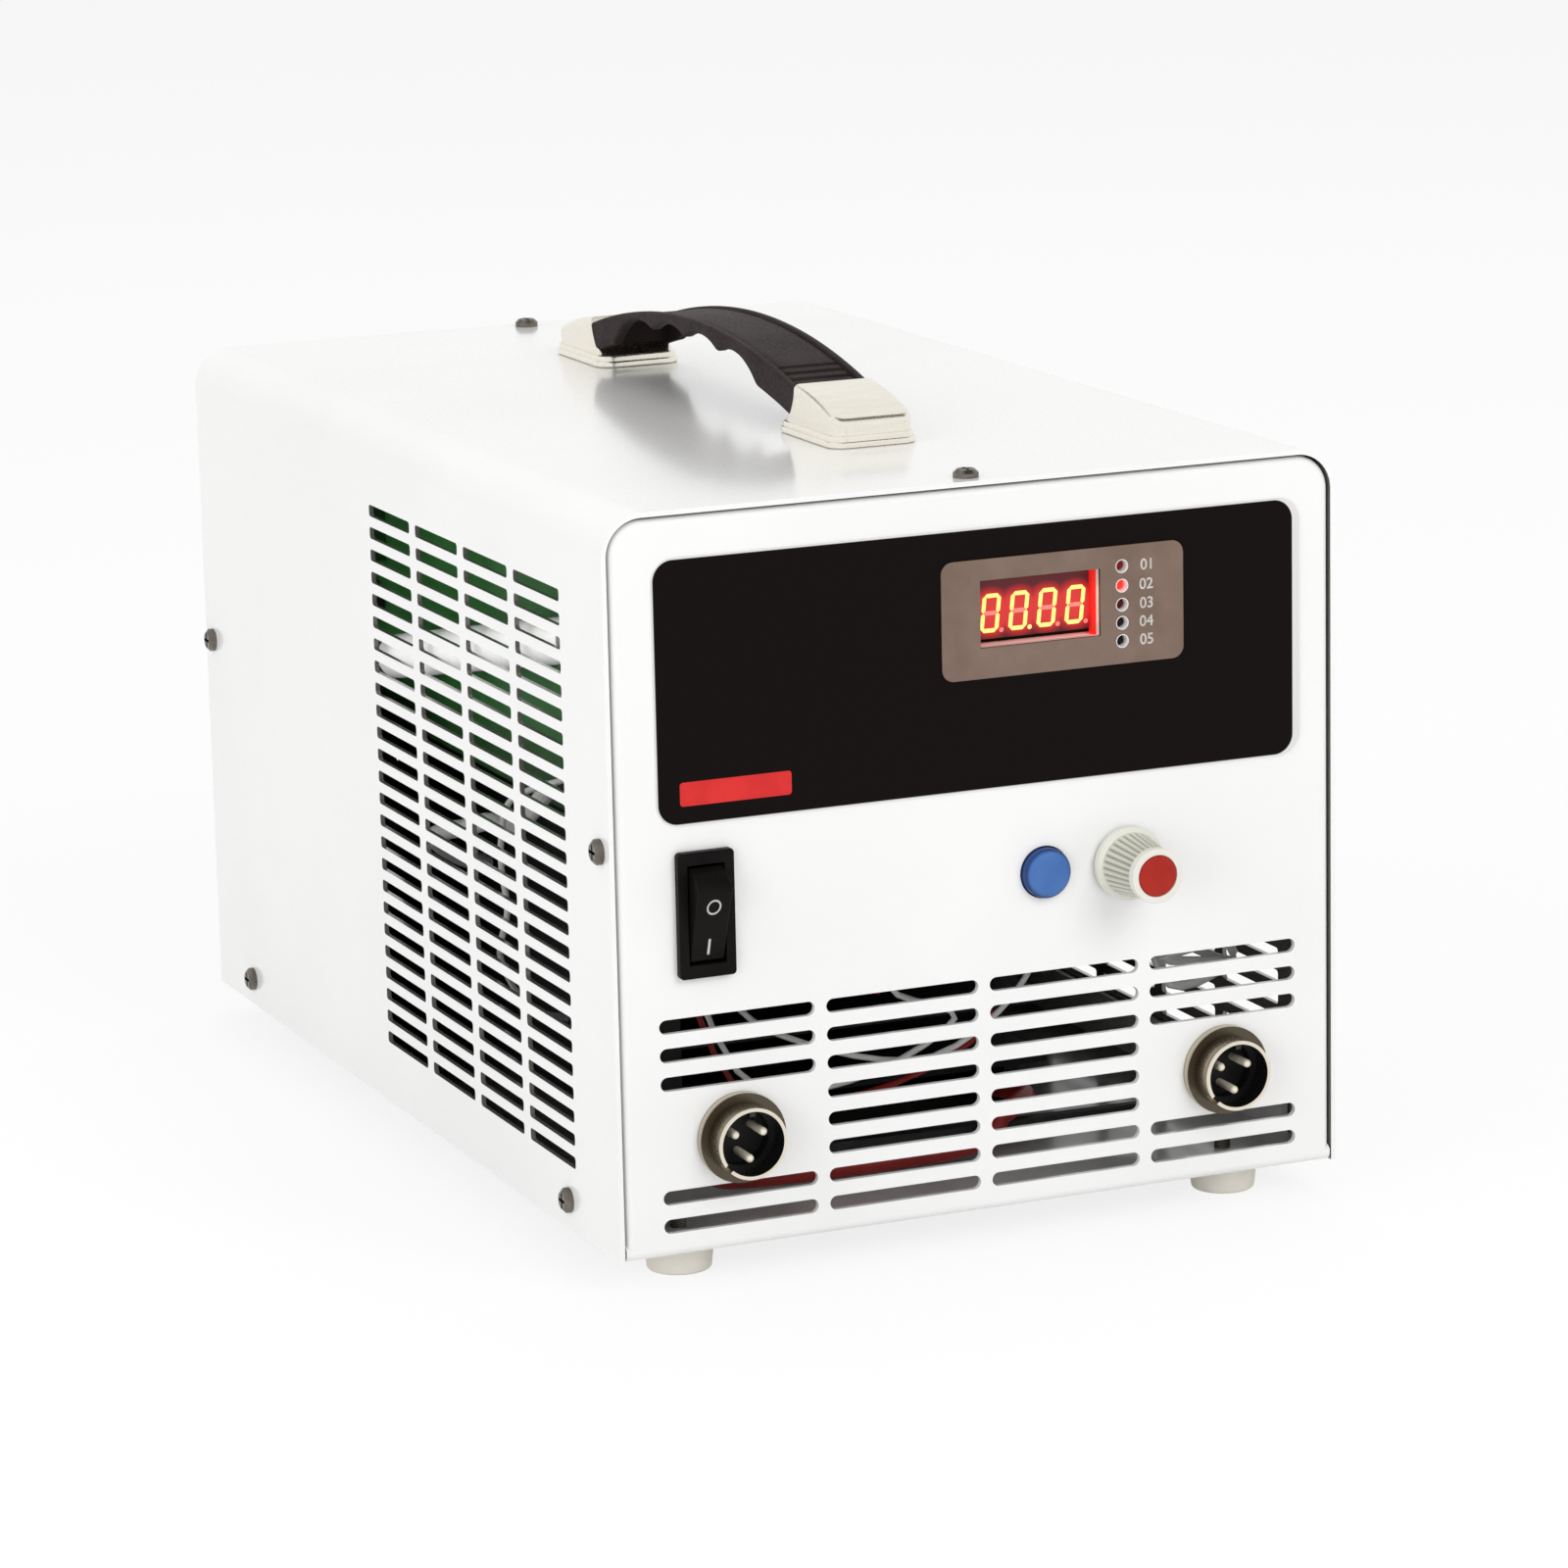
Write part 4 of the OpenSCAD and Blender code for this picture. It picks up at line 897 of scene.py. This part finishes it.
# Painted shade in the flutes: how deep a point lies in a groove is stored as a number that darkens the
# cream.
sunk = cone_radius(y) - r
sunk = np.where((sunk < 0.6) & (y > -14.7) & (y < -3.2), np.clip(sunk / 0.4, 0, 1), 0)
store(knob.data, "groove_shade", sunk)
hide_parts("knob")
cap_profile = softened([(-15.6, 0), (-15.6, 4.98), (-17.0, 4.98), (-17.4, 4.6), (-17.33, 0)], 0.25)
cap = turned("knob_disc", cap_profile, KNOB_AT, "cap_red", "set_knob", "cap_red", 96)
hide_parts("knob_cap")
button_corners = [(8.2, 0), (8.2, 2.5), (2.4, 2.5), (2.4, 6.1), (-1.9, 6.1), (-3, 4.9), (-2.92, 0)]
# Painted shade: the button's side and the edge of its front, past a radius of 5.2 millimetres, are a
# darker blue.
tinted("button_skirt", "button_blue", (0.012, 0.045, 0.17), "skirt")
button = turned("button_round", softened(button_corners, 0.45, 6), BUTTON_AT, "button_skirt",
                "push_button", "button_blue", 96)
y, r = about_axis(button, BUTTON_AT)
store(button.data, "skirt", np.clip((r - 5.2) / 0.5, 0, 1))
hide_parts("button_cap")

# %% [markdown]
# Pieces with flat faces keep the shape of their CAD node. A merged copy gets a narrow
# bevel on its sharp edges, which catches the light as a moulded or cast edge does.

# %% Softened edges
eased("display_plate", 0.2)
eased("rocker_housing", 0.3)
eased("rocker", 0.35)
eased("socket_shells", 0.22)
eased("feet", 0.7, 3)

# %% [markdown]
# Cables are round, so a circle carried along a curve makes them. The curve runs through a
# few given points: each span is a cubic whose slopes are half the step between the points
# before and after (a Catmull-Rom spline). At every step the circle stands square to the
# path; its two axes come from the path's direction and a fixed helper direction.

# %% Cable sleeve and leads
def smooth_path(knots, steps=10):
    """Points on a Catmull-Rom spline through the knots, steps to a span."""
    p = np.asarray(knots, float)
    p = np.concatenate([2 * p[:1] - p[1:2], p, 2 * p[-1:] - p[-2:-1]])
    t = np.linspace(0, 1, steps, endpoint=False)[None, :, None]
    a, b, c, d = (p[k:len(p) - 3 + k, None] for k in range(4))
    spans = 0.5 * (2 * b + (c - a) * t + (2 * a - 5 * b + 4 * c - d) * t**2
                   + (3 * b - a - 3 * c + d) * t**3)
    return np.concatenate([spans.reshape(-1, 3), p[-2:-1]])


def cable(knots, across, helper=(0.3, 0.2, 1.0), sides=20):
    """Points and faces of a round cable of a diameter along a path, with a face at each end."""
    path = smooth_path(knots)
    ahead = np.gradient(path, axis=0)
    ahead /= np.linalg.norm(ahead, axis=1, keepdims=True)
    side = np.cross(ahead, helper)
    side /= np.linalg.norm(side, axis=1, keepdims=True)
    up = np.cross(side, ahead)
    t = once_round(sides)[None, :, None]
    rings = path[:, None] + across / 2 * (np.cos(t) * side[:, None] + np.sin(t) * up[:, None])
    return in_frame(*np.moveaxis(rings, -1, 0)).reshape(-1, 3), tube_faces(len(path), sides)


def cables(name, paths, node):
    """Several cables as one piece that stands for a CAD node."""
    points, faces, count = [], [], 0
    for knots, across in paths:
        more, rings = cable(knots, across)
        points.append(more)
        faces += [[k + count for k in face] for face in rings]
        count += len(more)
    slot = slot_of[node]
    piece = add_piece(name, np.concatenate(points), faces, slot, nodes[node]["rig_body"], slot)
    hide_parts(node)


sleeve = [(-85.6, 40, 141.6), (-85.6, 62, 137.2), (-85.6, 94, 130.5), (-85.6, 128, 123.4),
          (-85.6, 168, 115)]
sleeve_front = [(-85.6, 39.2, 141.8), (-84, 31, 144), (-62, 25, 148), (-30, 20, 150), (-13.5, 14, 150)]
sleeve_back = [(-85.6, 168.7, 114.9), (-84, 175, 113.5), (-79.4, 182, 112)]
pale_lead = [(-79.4, 78, 97.5), (-84, 90, 86), (-84, 110, 83), (-84, 127, 78), (-84, 140, 74.6),
             (-82, 156, 69), (-70, 170, 60), (-60.6, 176, 56)]
thin_wire = [(-78, 64, 103), (-88.2, 80, 95.5), (-88.2, 89, 84.5), (-88.2, 90, 75.5), (-88.2, 87, 65.5),
             (-87, 96, 51.5), (-74, 112, 34), (-59.2, 124, 26)]
red_path = [(-64, 15, 23), (-62, 23, 13), (-50, 28, 7.8), (6, 28, 7.8), (19, 31, 13.8), (29, 40, 14.4),
            (34, 54, 12), (34, 68, 10)]
cables("white_cables", [(sleeve, 11.4), (sleeve_front, 5.0), (sleeve_back, 4.0), (pale_lead, 4.6),
                        (thin_wire, 1.6)], "cable_bundle")
cables("red_cable", [(red_path, 5.4)], "red_lead")

# %% [markdown]
# The switch carries two plain marks: a ring above and a bar below. They are thin inlays on
# the two halves of the rocker's front, which lean by two degrees each way, and the whole
# rocker is tilted about its pivot, so the marks are drawn flat and then turned with it.

# %% Marks of the switch
ROCKER_X, PIVOT_Y, PIVOT_Z = -71.7, 1.2, 82.3
TILT = np.radians(20.0)
MARK_TOP, MARK_FOOT = 0.05, -0.1
surface("mark_grey", (0.5, 0.5, 0.48), (0.6, 0.6, 0.58), (0.4, 0.5),
        drift=400, grain=2500, bump=0.05)


def on_rocker(x, z, lift):
    """A point on the rocker's front: 5.9 before the pivot, a thirtieth of its height more, tilted."""
    y = -5.9 - 0.4 * np.abs(z) / 12 - lift
    return in_frame(ROCKER_X + x, PIVOT_Y + y * np.cos(TILT) - z * np.sin(TILT),
                    PIVOT_Z + y * np.sin(TILT) + z * np.cos(TILT))


ring_r = np.array([1.62, 2.1, 2.1, 1.62])[:, None]
ring_lift = np.array([MARK_TOP, MARK_TOP, MARK_FOOT, MARK_FOOT])[:, None]
ring_points = on_rocker(0.86 * ring_r * np.cos(round_t), 5.0 + ring_r * np.sin(round_t), ring_lift)
add_piece("ring_mark", ring_points, grid_faces(4, TURNS, True, True), "mark_grey", "switch_rocker",
          "black_plastic")
bar_x = np.array([-0.3, 0.3, 0.3, -0.3])
bar_z = np.array([-3.8, -3.8, -8.0, -8.0])
bar_points = on_rocker(bar_x, bar_z, np.array([MARK_TOP, MARK_FOOT])[:, None])
add_piece("bar_mark", bar_points, tube_faces(2, 4), "mark_grey", "switch_rocker", "black_plastic")

# %% [markdown]
# Beside the lamps stand plain numbers, and a plain red bar lies in the lower left of the
# label. Numbers start as a text curve, become a mesh, and only then go to their place, so
# that each finished object stays at the origin.

# %% Numbers and the red bar
NUMBER_X, NUMBER_H, NUMBER_FRONT, NUMBER_BACK = 43.6, 2.7, -1.04, -0.98
TAG_FRONT, TAG_BACK, TAG_CORNER = -0.54, -0.45, 0.8
surface("number_grey", (0.5, 0.47, 0.43), (0.62, 0.59, 0.55), (0.45, 0.55),
        drift=300, grain=2500, bump=0.04)


def number_mesh(words, x, z, height):
    """Flat figures of a text curve, scaled to a height, given a little depth, upright in X and Z."""
    curve = bpy.data.curves.new("figures", "FONT")
    curve.body = words
    curve.extrude = 0.02
    curve.offset = 0.012
    holder = bpy.data.objects.new("figures", curve)
    link(holder)
    bpy.context.view_layer.update()
    mesh = bpy.data.meshes.new_from_object(holder.evaluated_get(bpy.context.evaluated_depsgraph_get()))
    bpy.data.objects.remove(holder)
    flat = rows_of(mesh.vertices, "co")
    low, high = flat.min(0), flat.max(0)
    flat = (flat - (low + high) / 2) * (height / (high[1] - low[1]))
    depth = np.where(flat[:, 2] > 0, NUMBER_FRONT, NUMBER_BACK)
    placed = in_frame(x + flat[:, 0], depth, z + flat[:, 1])
    mesh.vertices.foreach_set("co", placed.ravel())
    mesh.update()
    return mesh


for index, z in enumerate(LAMP_ZS, 1):
    figures = number_mesh(f"0{index}", NUMBER_X, z, NUMBER_H)
    link_piece(f"number_{index}", figures, "number_grey", "case")

surface("tag_red", (0.6, 0.022, 0.022), (0.7, 0.032, 0.03), (0.42, 0.52),
        drift=150, grain=2600, bump=0.04, Specular_IOR_Level=0.2)
tag_corners = [(-49.8, 113.1, 0), (-76.4, 113.1, 90), (-76.4, 109.0, 180), (-49.8, 109.0, 270)]
tag_outline = np.concatenate([arc(x, z, TAG_CORNER, turn, turn + 90) for x, z, turn in tag_corners])
add_piece("tag_bar", *prisms(tag_outline[None], TAG_FRONT, TAG_BACK), "tag_red", "case", "overlay_black")

# %% [markdown]
# Last, the scene is brought up to date.

# %% Bring the scene up to date
bpy.context.view_layer.update()
